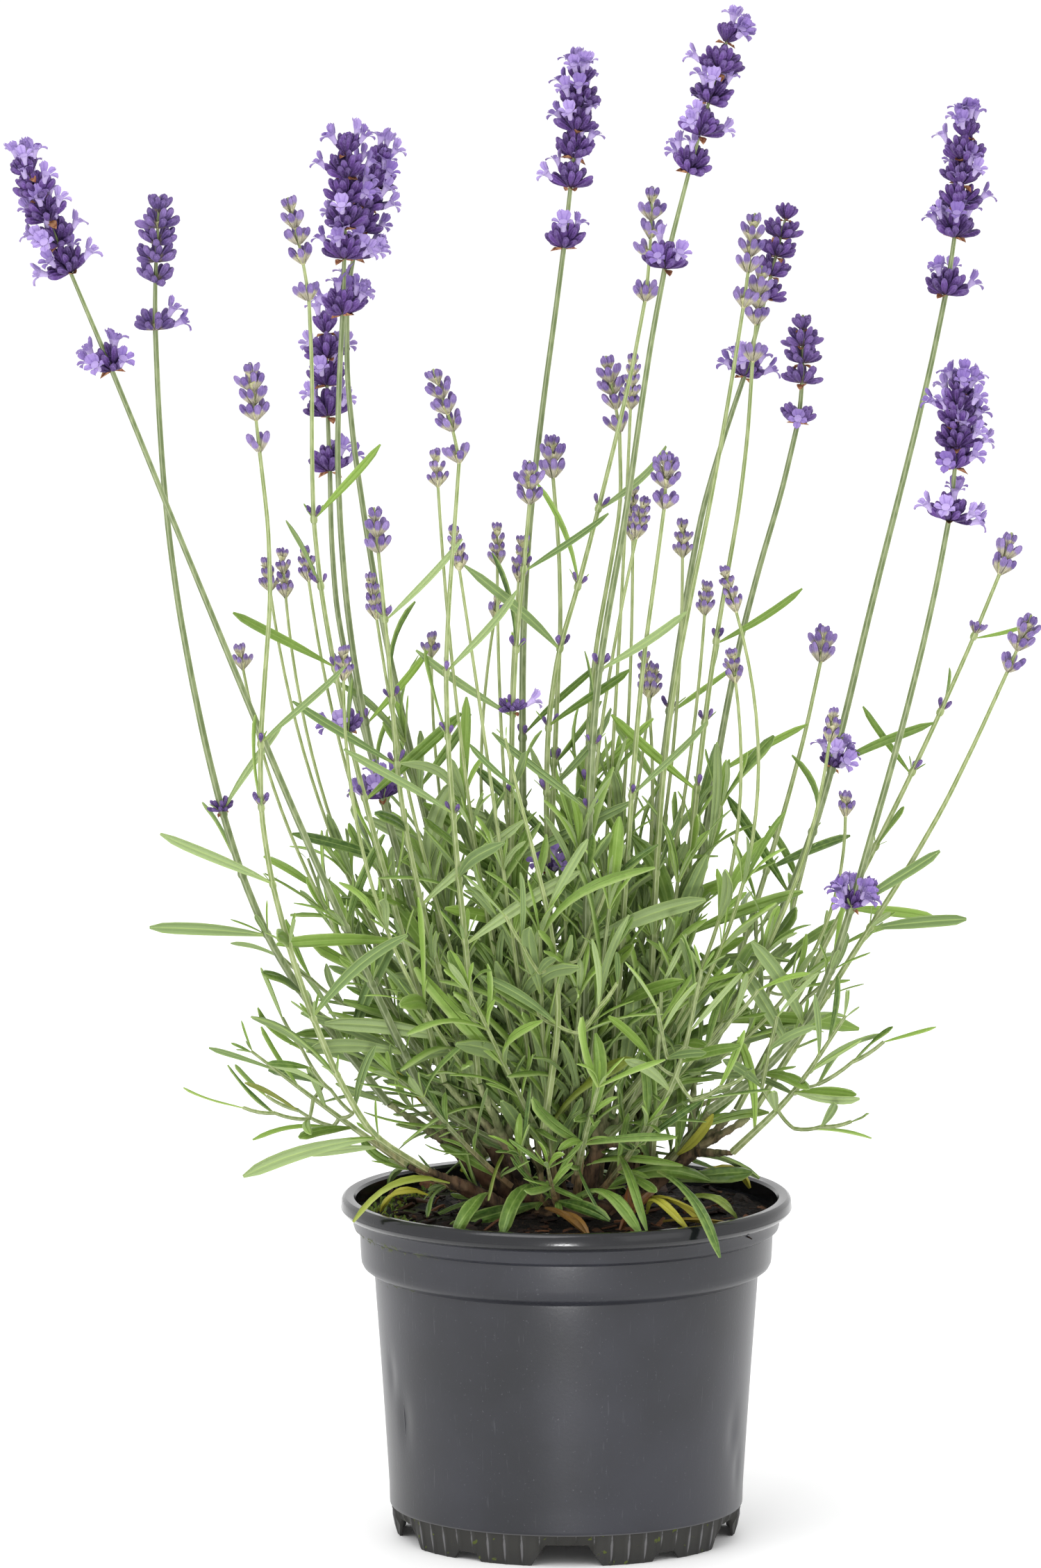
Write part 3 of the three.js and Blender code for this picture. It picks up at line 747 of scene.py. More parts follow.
def readRings(bm, foot):
    # Rings of a spike from its foot to its tip, each as (centre, radius).
    tip = max(bm.verts, key=lambda vert: (vert.co - foot).length)
    seen = {tip}
    layer = [tip]
    rings = []
    while layer:
        centre = average(layer)
        rings.append((centre, sum((vert.co - centre).length for vert in layer) / len(layer)))
        layer = list({edge.other_vert(vert) for vert in layer for edge in vert.link_edges} - seen)
        seen.update(layer)
    rings.reverse()
    return rings


# Pot.

pot = {
    "columns": 720,
    "ribs": 60,
    "ribHeight": 0.95 * mm,
    "ribFade": 1.6 * mm,
    "skirt": 12 * mm,
    "archHeight": 8 * mm,
    "archFoot": 13.5 * mm,
    "archCrown": 8 * mm,
    "notchHeight": 3 * mm,
    "notchFoot": 6 * mm,
    "notchCrown": 4 * mm,
    "arches": 5,
    "footRadius": 63.4 * mm,
    "drainHoles": 5,
    "drainRadius": 5 * mm,
    "drainCircle": 46 * mm,
    "floor": 8.55 * mm,
    "sway": 0.25 * mm,
    "dents": [  # angle from the front, height, depth, spread
        (-62, 50, 0.7, 5),
        (-70, 66, 0.5, 4),
        (66, 44, 0.6, 5),
        (72, 30, 0.5, 4),
        (150, 60, 0.6, 6),
        (-140, 35, 0.5, 5),
    ],
}

# The pot's outline as (radius, height): up the outside from under the floor, then down the inside.
potFoot = [
    (0, 0), (8.2, 0), (8.5, 0.3), (11, 8.6), (60.4, 8.6), (62.0, 8.3), (62.2, 0.3), (62.5, 0), (63.1, 0),
    (63.4, 0.3), (64.0, 4), (64.8, 8), (65.2, 11), (65.4, 11.9), (66.4, 12.1), (66.7, 12.6), (66.8, 13.6),
    (67.0, 20),
]
potWall = [(round(67 + 0.06753 * 3.5 * i, 2), 20 + 3.5 * i) for i in range(1, 22)]
potBand = [
    (72.3, 99.4), (72.3, 100.6), (72.9, 101.3), (74.9, 102.2), (76.5, 103.4), (77.3, 105), (77.5, 107),
    (77.9, 115.4), (77.9, 116.6), (78.9, 117.0), (80.0, 117.9), (80.4, 119.2), (80.6, 121.9), (80.9, 122.5),
]
potRim = [
    (83.3, 123.4), (84.7, 124.9), (85.05, 125.5), (84.95, 126.1), (84.8, 128.4), (84.3, 129.4), (83.4, 130),
    (81.6, 130), (80.2, 129.6), (79.5, 128.6),
]
potInside = [
    (79.2, 119), (78.6, 118.2), (76.7, 117.4), (76.5, 116.4), (76.1, 105), (71.6, 101), (65, 10.4),
    (64.4, 9.8), (11.6, 9.8), (9, 1.2), (0, 1.2),
]


def trapezium(distance, foot, crown):
    return min(1, max(0, (foot - distance) / (foot - crown)))


def archAt(angle):
    # Height of the skirt's lower edge at an angle from the front.
    fifth = math.tau / pot["arches"]
    toArch = abs((angle + fifth / 2) % fifth - fifth / 2) * pot["footRadius"]
    toNotch = abs(angle % fifth - fifth / 2) * pot["footRadius"]
    arch = pot["archHeight"] * trapezium(toArch, pot["archFoot"], pot["archCrown"])
    notch = pot["notchHeight"] * trapezium(toNotch, pot["notchFoot"], pot["notchCrown"])
    return max(arch, notch)


def makePot():
    bm = newMesh()
    outline = potFoot + potWall + potBand + potRim + potInside
    spinProfile(bm, [(radius * mm, height * mm) for radius, height in outline], pot["columns"])
    for vert in bm.verts:
        radius = math.hypot(vert.co.x, vert.co.y)
        angle = math.atan2(vert.co.x, -vert.co.y)
        height = vert.co.z
        if radius > 61.5 * mm and height < pot["skirt"]:
            low = archAt(angle)
            vert.co.z = low + height * (1 - low / pot["skirt"])
            if radius > 63 * mm:
                column = angle / math.tau * pot["ribs"] - 0.5
                crest = math.cos((column - round(column)) * math.pi) ** 22
                fade = min(1, (pot["skirt"] - height) / pot["ribFade"])
                fade *= min(1, 0.35 + height / (5 * mm))
                grown = 1 + pot["ribHeight"] * crest * fade / radius
                vert.co.x *= grown
                vert.co.y *= grown
        elif radius > 64 * mm and height < 101 * mm:
            sway = pot["sway"] * math.sin(2 * angle + 1) * math.sin(height / (100 * mm) * math.pi)
            for dentAngle, dentHeight, depth, spread in pot["dents"]:
                aside = math.remainder(angle - math.radians(dentAngle), math.tau) * radius / mm
                away = (aside * aside + ((height / mm - dentHeight) / 1.8) ** 2) / spread ** 2
                sway -= depth * mm * math.exp(-away)
            vert.co.x *= 1 + sway / radius
            vert.co.y *= 1 + sway / radius
    for i in range(pot["drainHoles"]):
        heading = math.tau * i / pot["drainHoles"] - math.pi / 2
        hole = Vector((math.cos(heading), math.sin(heading), 0)) * pot["drainCircle"]
        made = bmesh.ops.create_circle(bm, segments=24, radius=pot["drainRadius"], cap_ends=True)
        bmesh.ops.translate(bm, vec=hole + Vector((0, 0, pot["floor"])), verts=made["verts"])
    return addPiece("Pot", bm, potPlastic, "black_plastic", ["pot"], angle=32)


# Soil.

soil = {
    "edge": 79.0 * mm,
    "level": 121.6 * mm,
    "dome": 3.2 * mm,
    "rings": 90,
    "columns": 260,
    "chips": 380,
    "fibres": 90,
    "moss": 240,
    "relief": [(1.6, 90), (0.9, 260), (0.5, 700)],  # depth and frequency of each roughness
    "foot": 104 * mm,
}


def soilHeight(x, y):
    share = min(1, math.hypot(x, y) / soil["edge"])
    height = soil["level"] + soil["dome"] * (1 - share * share)
    point = Vector((x, y, 0))
    return height + sum(depth * mm * noise.noise(point * scale) for depth, scale in soil["relief"])


def makeSoil():
    bm = newMesh()
    count = soil["rings"]
    profile = [(soil["edge"] * i / count, 0) for i in range(count + 1)]
    spinProfile(bm, profile, soil["columns"])
    for vert in bm.verts:
        vert.co.z = soilHeight(vert.co.x, vert.co.y)
    rim = [edge for edge in bm.edges if edge.is_boundary]
    made = bmesh.ops.extrude_edge_only(bm, edges=rim)["geom"]
    low = [item for item in made if isinstance(item, bmesh.types.BMVert)]
    for vert in low:
        vert.co = (vert.co.x * 0.94, vert.co.y * 0.94, soil["foot"])
    return addPiece("Soil", bm, soilPaint, "potting_soil", ["soil"], angle=80)


def makeChips():
    bm = newMesh()
    rng = random.Random(11)
    for i in range(soil["chips"] + soil["fibres"]):
        fibre = i >= soil["chips"]
        angle = rng.uniform(0, math.tau)
        distance = soil["edge"] * math.sqrt(rng.uniform(0.02, 0.93))
        x, y = distance * math.cos(angle), distance * math.sin(angle)
        size = (rng.uniform(3, 8) if fibre else rng.uniform(0.8, 4.6)) * mm
        slender = 0.06 if fibre else rng.uniform(0.2, 0.6)
        turn = Matrix.Rotation(rng.uniform(0, math.tau), 3, "Z")
        turn = turn @ Matrix.Rotation(rng.gauss(0, 0.3), 3, "Y")
        turn = turn @ Matrix.Rotation(rng.gauss(0, 0.4), 3, "X")
        centre = Vector((x, y, soilHeight(x, y) + rng.uniform(0, 0.8) * mm))
        bend = rng.uniform(-0.4, 0.4)
        thick = 0.05 if fibre else 0.16

        def shape(co):
            across = co.y * slender * (1 - 0.3 * co.x) + bend * 0.5 * co.x * co.x
            return centre + turn @ (Vector((co.x, across, co.z * thick + bend * co.x * co.x * 0.3)) * size)

        addCopy(bm, chipTemplate, shape, (rng.random() ** (1.2 if fibre else 3.2), 0, 0))
    return addPiece("BarkChips", bm, chipPaint, "potting_soil", angle=30)


def makeMoss():
    bm = newMesh()
    rng = random.Random(12)
    for _ in range(soil["moss"]):
        angle = math.radians(rng.gauss(165, 28))
        distance = soil["edge"] * rng.uniform(0.78, 0.95)
        foot = Vector((distance * math.cos(angle), distance * math.sin(angle), 0))
        foot.z = soilHeight(foot.x, foot.y) - 0.3 * mm
        out = Vector((rng.gauss(0, 0.5), rng.gauss(0, 0.5), 1)).normalized()
        tip = foot + out * rng.uniform(1.4, 3.2) * mm
        path = [foot, foot.lerp(tip, 0.5), tip]
        addLeaf(bm, path, Vector((0, -1, 0.2)), 0.9 * mm, rng.random(), rng.uniform(0, 0.35))
    return addPiece("SoilMoss", bm, leafPaint, "foliage")


# Crown.

crown = {"voxel": 0.7 * mm, "smoothing": 6, "knobs": 0.5 * mm, "grain": 0.35}


def makeCrown():
    bm = readNode("crown")
    mesh = bpy.data.meshes.new("CrownDraft")
    bm.to_mesh(mesh)
    bm.free()
    draft = bpy.data.objects.new("CrownDraft", mesh)
    bpy.context.scene.collection.objects.link(draft)
    remesh = draft.modifiers.new("Remesh", "REMESH")
    remesh.mode = "VOXEL"
    remesh.voxel_size = crown["voxel"]
    smooth = draft.modifiers.new("Smooth", "SMOOTH")
    smooth.factor = 0.5
    smooth.iterations = crown["smoothing"]
    graph = bpy.context.evaluated_depsgraph_get()
    bm = newMesh()
    bm.from_mesh(draft.evaluated_get(graph).to_mesh())
    bpy.data.objects.remove(draft)
    bm.normal_update()
    for vert in bm.verts:
        point = vert.co.copy()
        point.z *= crown["grain"]
        rough = noise.noise(point * 420) + 0.5 * noise.noise(point * 1100)
        vert.co += vert.normal * (rough * crown["knobs"] - 0.1 * mm)
    return addPiece("WoodyCrown", bm, woodPaint, "woody_bark", ["crown"], angle=70)


# Stems and leaves.

foliage = {
    "stemStep": 6 * mm,
    "limits": (Vector((-207, -112, 3)) * mm, Vector((178, 125.5, 588)) * mm),
    "oldStem": {"top": 1.0 * mm, "tone": 0.15},
    "youngStem": {"top": 0.72 * mm, "tone": 0.8},
    "widest": 9 * mm,
    "widths": [0.45, 0.6, 0.75, 0.9, 1.05, 1.3],
    "highLeaves": (0.24, 0.06),  # from this height and over this much, leaves are slimmer and curl up
    "lowLeaves": (0.13, 0.05),  # and down here some have yellowed
    "lowPairs": (0.13, 0.04),
}
crownTree = BVHTree.FromBMesh(readNode("crown"))


def inside(point):
    low, high = foliage["limits"]
    return all(low[i] < point[i] < high[i] for i in range(3))


def addReadLeaf(bm, leaf, rng, stemPath):
    # Joins a leaf read from the frame to the stem's middle line.
    near = min(stemPath, key=lambda point: (point - leaf["foot"]).length)
    foot = leaf["foot"].lerp(near, 0.6)
    middle, tip = leaf["middle"], leaf["tip"]
    share = (middle - foot).length / ((middle - foot).length + (tip - middle).length)
    handle = (middle - foot * (1 - share) ** 2 - tip * share ** 2) / (2 * share * (1 - share))
    tip = tip + Vector((rng.gauss(0, 1.2), rng.gauss(0, 1.2), rng.gauss(0, 1.2))) * mm
    path = arc(foot, handle, tip, 10)
    start, span = foliage["highLeaves"]
    high = min(1, max(0, (middle.z - start) / span))
    curl = leaf["upper"] * rng.gauss(-0.08 + 0.2 * high, 0.12) + Vector((0, 0, 0.1 * high))
    path = [point + curl * (tip - foot).length * (i / 9) ** 3 for i, point in enumerate(path)]
    width = leaf["width"] * rng.uniform(0.8, 1.1) * (1 - 0.28 * high)
    start, span = foliage["lowLeaves"]
    low = max(0, 1 - (foot.z - start) / span)
    yellowing = rng.uniform(0.1, 0.45) if rng.random() < 0.28 * low else 0
    addLeaf(bm, path, leaf["upper"], width, rng.random(), yellowing, rng.gauss(0, 0.3), 0.05)


def stemRadii(start, end, count):
    # Radii that run evenly from one end of a stem to the other.
    return [start + (end - start) * i / (count - 1) for i in range(count)]


def addNodeSwelling(bm, path, spot, radius, tone):
    # The swelling of a stem where a pair of leaves joins it.
    index = min(range(len(path)), key=lambda i: (path[i] - spot).length)
    index = min(max(index, 1), len(path) - 2)
    direction = (path[index + 1] - path[index - 1]).normalized()
    short = [path[index] + direction * offset * mm for offset in (-1.6, -0.6, 0.4, 1.4)]
    addTube(bm, short, [radius * 1.02, radius * 1.3, radius * 1.25, radius * 0.98], tone)


spikeFeet = {}
stemPaths = {}
stalkNodes = {}


def makeStalk(name, seed):
    rng = random.Random(seed)
    cad = readNode(name)
    leaves = readLeaves(cad)
    path, radius = traceStem(cad)
    rings = resample(smoothPath(path, 8), max(6, int(pathLength(path) / foliage["stemStep"])))
    number = name[-2:]
    stemPaths[name] = rings
    spikeFeet[number] = path[-1]
    look = foliage["oldStem" if "flower_spike_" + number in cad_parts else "youngStem"]
    stems = newMesh()
    blades = newMesh()
    addTube(stems, rings, stemRadii(radius * 0.98, look["top"], len(rings)), look["tone"])
    for leaf in leaves:
        addReadLeaf(blades, leaf, rng, rings)
    done = []
    for leaf in leaves:
        near = min(rings, key=lambda point: (point - leaf["foot"]).length)
        if all((near - other).length > 4 * mm for other in done):
            done.append(near)
            stalkNodes.setdefault(number, []).append(near)
            addNodeSwelling(stems, rings, near, radius * 0.85, look["tone"])
            addAxilLeaves(blades, near, rings, rng)
    cad.free()
    addPiece(f"Stem_{number}", stems, stemPaint, "foliage", [name])
    addPiece(f"StemLeaves_{number}", blades, leafPaint, "foliage")
    return len(leaves)


def addAxilLeaves(bm, spot, path, rng):
    # Young leaves in the angle between a stem and its leaf pair.
    index = min(range(len(path)), key=lambda i: (path[i] - spot).length)
    direction = (path[min(index + 1, len(path) - 1)] - path[max(index - 1, 0)]).normalized()
    height = (spot.z - 0.15) / 0.15
    count = 4 if height < 0.6 else 2
    heading = rng.uniform(0, math.pi)
    for i in range(count):
        out = sideways(direction, heading + math.tau * i / count)
        size = rng.uniform(5, 13) * mm * (1 if height < 0.6 else 0.5)
        lean = rng.uniform(0.3, 0.8)
        middle = spot + (direction + out * lean) * size * 0.5
        tip = middle + (direction + out * lean * 1.6) * size * 0.45
        curve = arc(spot + out * 0.5 * mm, middle, tip, 5)
        addLeaf(bm, curve, direction - out * 0.3, size * rng.uniform(0.14, 0.2), rng.uniform(0.4, 1), 0)


clearance = {
    "outside": 100 * mm,
    "steps": [(90 * mm, 133 * mm), (76 * mm, 126 * mm)],  # within this distance, above this height
}


def keepClear(tip):
    # Leaves rest on the compost and on the rim rather than going through them.
    distance = math.hypot(tip.x, tip.y)
    low = clearance["outside"]
    for edge, height in clearance["steps"]:
        if distance < edge:
            low = height
    tip.z = max(tip.z, low)
    return tip


def growLeaf(bm, spot, direction, out, length, lean, bend, rng, tone, yellowing, slim):
    # A leaf that leaves its stem by lean, bends on by bend, and stays inside the plant's space.
    middle = spot + (direction * math.cos(lean) + out * math.sin(lean)) * length * 0.5
    tip = middle + (direction * math.cos(lean + bend) + out * math.sin(lean + bend)) * length * 0.5
    tip += out.cross(direction) * length * rng.gauss(0, 0.07)
    tip = keepClear(tip)
    middle = keepClear(middle)
    if inside(tip):
        upper = direction * math.sin(lean) - out * math.cos(lean)
        width = min(foliage["widest"], length * slim * rng.choice(foliage["widths"]))
        path = arc(spot, middle, tip, 9)
        curl = upper * length * rng.gauss(-0.08, 0.15) + out.cross(direction) * length * rng.gauss(0, 0.12)
        path = [point + curl * (i / 8) ** 3 for i, point in enumerate(path)]
        addLeaf(bm, path, upper, width, tone, yellowing, rng.gauss(0, 0.45), 0.08)


def growPairs(blades, path, rng, style):
    # Opposite leaves along a shoot, each pair square to the last, and tufts of young leaves above them.
    first = style["first"]
    slim = style["slim"]
    pairs = max(2, round(pathLength(path) * (1 - first) / style["spacing"]))
    heading = rng.uniform(0, math.pi)
    for i in range(pairs + 1):
        share = first + (1 - first) * i / pairs
        index = min(int(share * (len(path) - 1)), len(path) - 2)
        spot = path[index].lerp(path[index + 1], share * (len(path) - 1) - index)
        direction = (path[index + 1] - path[index]).normalized()
        heading += math.pi / 2 + rng.gauss(0, 0.15)
        size = style["long"] + (style["short"] - style["long"]) * share
        rise = math.radians(style["spread"] + (style["rise"] - style["spread"]) * share)
        start, span = foliage["lowPairs"]
        low = max(0, 1 - (spot.z - start) / span)
        tone = min(1, max(0, rng.gauss(style["tone"] + 0.25 * share, 0.22)))
        for side in (0, math.pi):
            out = sideways(direction, heading + side + rng.gauss(0, 0.12))
            yellowing = rng.uniform(0.1, 0.5) if rng.random() < 0.15 * low else 0
            long = size * rng.uniform(0.55, 1.3)
            lean = rise + rng.gauss(0, 0.14)
            bend = rng.uniform(-0.1, 0.65)
            growLeaf(blades, spot, direction, out, long, lean, bend, rng, tone, yellowing, slim)
            if i < pairs:
                aside = Matrix.Rotation(rng.gauss(0, 0.7), 3, direction) @ out
                long = size * rng.uniform(0.25, 0.5)
                fresh = min(1, tone + 0.3)
                growLeaf(blades, spot, direction, aside, long, rise * 0.7, 0.3, rng, fresh, 0, slim * 1.3)
    for i in range(4):
        out = sideways(direction, heading + i * math.pi / 2 + 0.4)
        long = style["short"] * rng.uniform(0.4, 0.7)
        growLeaf(blades, path[-1], direction, out, long, 0.25, 0.2, rng, 0.9, 0, slim * 1.2)


shoot = {"tip": 0.6 * mm, "onStem": 2.6 * mm, "pair": 3.2 * mm, "sag": 1.5 * mm}


def makeLeafyShoot(name, seed):
    rng = random.Random(seed)
    cad = readNode(name)
    leaves = readLeaves(cad)
    path, radius = traceStem(cad)
    rings = resample(smoothPath(path, 6), max(6, int(len(path) / 2)))
    stems = newMesh()
    blades = newMesh()
    tone = 1 if name.endswith("1") else 0.6
    addTube(stems, rings, stemRadii(radius * 0.98, shoot["tip"], len(rings)), tone)
    for leaf in leaves:
        near = min(rings, key=lambda point: (point - leaf["foot"]).length)
        if (near - leaf["foot"]).length < shoot["onStem"]:
            addReadLeaf(blades, leaf, rng, rings)
    # Side shoots: their leaf feet, chained from the stem outwards.
    joints = []
    for leaf in leaves:
        near = min(rings, key=lambda point: (point - leaf["foot"]).length)
        reach = (near - leaf["foot"]).length
        if reach < shoot["onStem"]:
            continue
        mate = [joint for joint in joints if (joint["spot"] - leaf["foot"]).length < shoot["pair"]]
        if mate:
            mate[0]["leaves"].append(leaf)
            mate[0]["spot"] = (mate[0]["spot"] + leaf["foot"]) / 2
        else:
            joints.append({"spot": leaf["foot"].copy(), "leaves": [leaf], "reach": reach, "near": near})
    joints.sort(key=lambda joint: joint["reach"])
    linked = []
    for joint in joints:
        spots = [other["spot"] for other in linked] + [joint["near"]]
        source = min(spots, key=lambda spot: (spot - joint["spot"]).length)
        sagging = (source + joint["spot"]) / 2 - Vector((0, 0, shoot["sag"]))
        addTube(stems, arc(source, sagging, joint["spot"], 5), stemRadii(0.85 * mm, 0.7 * mm, 5), tone)
        for leaf in joint["leaves"]:
            addReadLeaf(blades, leaf, rng, [joint["spot"]])
        linked.append(joint)
    addAxilLeaves(blades, rings[-1], rings, rng)
    cad.free()
    addPiece(f"ShootStem_{name[-1]}", stems, stemPaint, "foliage", [name])
    addPiece(f"ShootLeaves_{name[-1]}", blades, leafPaint, "foliage")
    return len(leaves)


bush = {
    "seed": 5,
    "pieces": 4,
    "kinds": [
        {  # upright
            "count": 23, "lean": (2, 26), "length": (90, 170), "reach": (6, 38),
            "long": 58 * mm, "short": 34 * mm, "spread": 32, "rise": 16,
            "spacing": 23 * mm, "first": 0.2, "tone": 0.35, "slim": 0.12,
        },
        {  # spreading
            "count": 18, "lean": (24, 52), "length": (60, 115), "reach": (10, 40),
            "long": 52 * mm, "short": 30 * mm, "spread": 38, "rise": 22,
            "spacing": 19 * mm, "first": 0.2, "tone": 0.3, "slim": 0.12,
        },
        {  # low, over the rim
            "count": 20, "lean": (50, 80), "length": (28, 60), "reach": (10, 46),
            "long": 36 * mm, "short": 24 * mm, "spread": 50, "rise": 34,
            "spacing": 15 * mm, "first": 0.1, "tone": 0.1, "slim": 0.14,
        },
    ],
    "right": {"from": 0.4, "skip": 3, "lean": 0.72, "length": 0.8},  # the sparser side of the plant
    "front": {"from": -0.3, "closer": 0.4},  # where shoots start nearer the crown
    "stem": (1.4 * mm, 0.7 * mm),
}


def makeBush():
    # The dense leafy shoots low on the plant.
    rng = random.Random(bush["seed"])
    stems = newMesh()
    blades = [newMesh() for _ in range(bush["pieces"])]
    grown = 0
    for kind in bush["kinds"]:
        for i in range(kind["count"]):
            heading = math.tau * (i + rng.uniform(0, 1)) / kind["count"]
            right = math.cos(heading) > bush["right"]["from"]
            if right and i % bush["right"]["skip"] == 0:
                continue
            lean = math.radians(rng.uniform(*kind["lean"])) * (bush["right"]["lean"] if right else 1)
            length = rng.uniform(*kind["length"]) * mm * (bush["right"]["length"] if right else 1)
            distance = rng.uniform(*kind["reach"]) * mm
            if math.sin(heading) < bush["front"]["from"] and kind["lean"][0] < 50:
                distance *= bush["front"]["closer"]
            out = Vector((math.cos(heading), math.sin(heading) * 0.85, 0))
            start = out * distance
            start.z = soilHeight(start.x, start.y) + rng.uniform(1, 24) * mm
            direction = Vector((0, 0, 1)) * math.cos(lean) + out * math.sin(lean)
            handle = start + direction * length * 0.5
            onward = (direction + Vector((rng.gauss(0, 0.1), rng.gauss(0, 0.1), 0.35))).normalized()
            path = arc(start, handle, handle + onward * length * 0.5, 14)
            addTube(stems, path, stemRadii(*bush["stem"], len(path)), rng.uniform(0.3, 0.9))
            growPairs(blades[grown % bush["pieces"]], path, rng, kind)
            grown += 1
    addPiece("BushStems", stems, stemPaint, "foliage")
    for i, bm in enumerate(blades):
        addPiece(f"BushLeaves_{i + 1}", bm, leafPaint, "foliage")


# Leaves that droop over the rim, and dead ones on the compost: foot, handle, tip, width, yellowing.
fallenLeaves = [
    ((34, -38, 146), (50, -70, 146), (57, -77, 120), 5.2, 0),
    ((-44, -30, 140), (-66, -52, 152), (-80, -46, 128), 5.5, 0.3),
    ((-30, -40, 138), (-36, -66, 140), (-42, -64, 126), 6.5, 0),
    ((-12, -34, 140), (-20, -64, 146), (-24, -70, 127), 6.8, 0),
    ((6, -36, 136), (16, -62, 150), (28, -70, 127), 6.4, 0),
    ((20, -30, 150), (24, -54, 150), (30, -66, 128), 5.0, 0),
    ((28, -34, 134), (40, -60, 144), (54, -52, 127), 5.5, 0.65),
    ((30, -40, 130), (30, -60, 148), (46, -62, 127), 4.2, 0.5),
    ((24, -38, 142), (22, -62, 136), (26, -62, 126), 5.0, 1),
    ((34, -34, 138), (28, -54, 140), (20, -60, 127), 4.6, 0.95),
    ((36, -44, 128), (52, -64, 134), (60, -48, 126), 4.8, 0.8),
    ((-8, -38, 132), (2, -58, 134), (8, -66, 126), 4.6, 0.9),
    ((44, -30, 134), (58, -46, 142), (64, -36, 127), 5.2, 0.2),
    ((-52, -22, 134), (-66, -30, 142), (-70, -20, 127), 5.0, 0.55),
    ((-20, 36, 136), (-34, 62, 142), (-40, 66, 127), 5.6, 0.4),
    ((18, 38, 138), (30, 62, 142), (36, 64, 127), 5.6, 0.9),
    ((50, 24, 134), (66, 34, 140), (70, 30, 127), 5.2, 0.6),
    ((-50, 18, 134), (-64, 28, 142), (-68, 34, 127), 5.2, 0),
]


def makeFallenLeaves():
    bm = newMesh()
    rng = random.Random(41)
    for foot, handle, tip, width, yellowing in fallenLeaves:
        foot, handle, tip = (Vector(point) * mm for point in (foot, handle, tip))
        path = arc(foot, handle, tip, 10)
        curl = rng.gauss(0, 0.5) if yellowing < 0.6 else rng.choice([-1.6, 1.6])
        up = Vector((0, -0.3, 1))
        addLeaf(bm, path, up, width * 0.85 * mm, rng.uniform(0, 0.5), yellowing, curl, 0.15)
    return addPiece("FallenLeaves", bm, leafPaint, "foliage")


# Flowers.

# Rows of calyces in half a whorl: bearings from the middle of the half, climb, and height on the stem.
spikes = {
    "open": {
        "length": 7.9, "radius": 1.3, "flowers": 0.18, "young": 0.0, "bract": (4.4, 1.6), "fan": 26,
        "rows": [
            ((-78, -47, -16, 16, 47, 78), 10, 0),
            ((-62, -20, 20, 62), 34, 0.8),
            ((-30, 30), 56, 1.2),
        ],
        "usual": 6.3, "least": 0.76, "fuller": 1, "stem": 1.0, "stemTone": 0.3, "slot": "violet_flowers",
    },
    "dark": {
        "length": 7.2, "radius": 1.26, "flowers": 0, "young": 0.25, "bract": (3.8, 1.5), "fan": 24,
        "rows": [
            ((-76, -38, 0, 38, 76), 8, 0),
            ((-54, 0, 54), 30, 0.6),
        ],
        "usual": 6.0, "least": 0.76, "fuller": 1, "stem": 1.0, "stemTone": 0.3, "slot": "violet_flowers",
    },
    "bud": {
        "length": 7.5, "radius": 1.34, "flowers": 0, "young": 1.0, "bract": (5.4, 2.3), "fan": 0,
        "rows": [((-60, 0, 60), 52, 0)],
        "usual": 4.4, "least": 0.62, "fuller": 1.04, "stem": 0.72, "stemTone": 0.9, "slot": "lilac_buds",
    },
    "late": {
        "length": 7.5, "radius": 1.3, "flowers": 0, "young": 1.3, "bract": (5.4, 2.1), "fan": 0,
        "rows": [((-58, 0, 58), 60, 0)],
    },
}
whorl = {
    "close": 0.62,  # how far the last whorl of a spike stays open
    "steepest": 84,
    "waver": 6,
    "stemRadius": 0.8,
    "largest": 1.14,
    "lowestInFlower": 0.25,
    "calyxLength": (0.86, 1.08),
    "calyxWidth": (0.9, 1.08),
    "calyxBend": 0.1,
    "flowerSpan": (7.4, 8.8),
    "flowerLift": (0.25, 0.8),
    "flowerFoot": 0.82,
    "freshBract": (26, 36),  # lean from the stem in degrees
    "dryBract": (80, 125),
}
darkSpikes = {"02": 0.52, "11": 0.05, "12": 0.25}  # how young each of the dark spikes looks


def addCalyx(parts, spot, direction, axis, size, style, rng, flowers):
    # A calyx, and by chance the flower that stands out of it.
    long = style["length"] * mm * size * rng.uniform(*whorl["calyxLength"])
    wide = style["radius"] * mm * size * rng.uniform(*whorl["calyxWidth"])
    tone, young, bend = rng.random(), style["young"], whorl["calyxBend"]
    addOrgan(parts["calyx"], calyxTemplate, spot, direction, axis, long, wide, tone, young, bend)
    if rng.random() < flowers:
        lift = (direction + Vector((0, 0, rng.uniform(*whorl["flowerLift"])))).normalized()
        span = rng.uniform(*whorl["flowerSpan"]) * mm
        mouth = spot + direction * long * whorl["flowerFoot"]
        addOrgan(parts["petal"], flowerTemplate, mouth, lift, axis, span, span, rng.random())


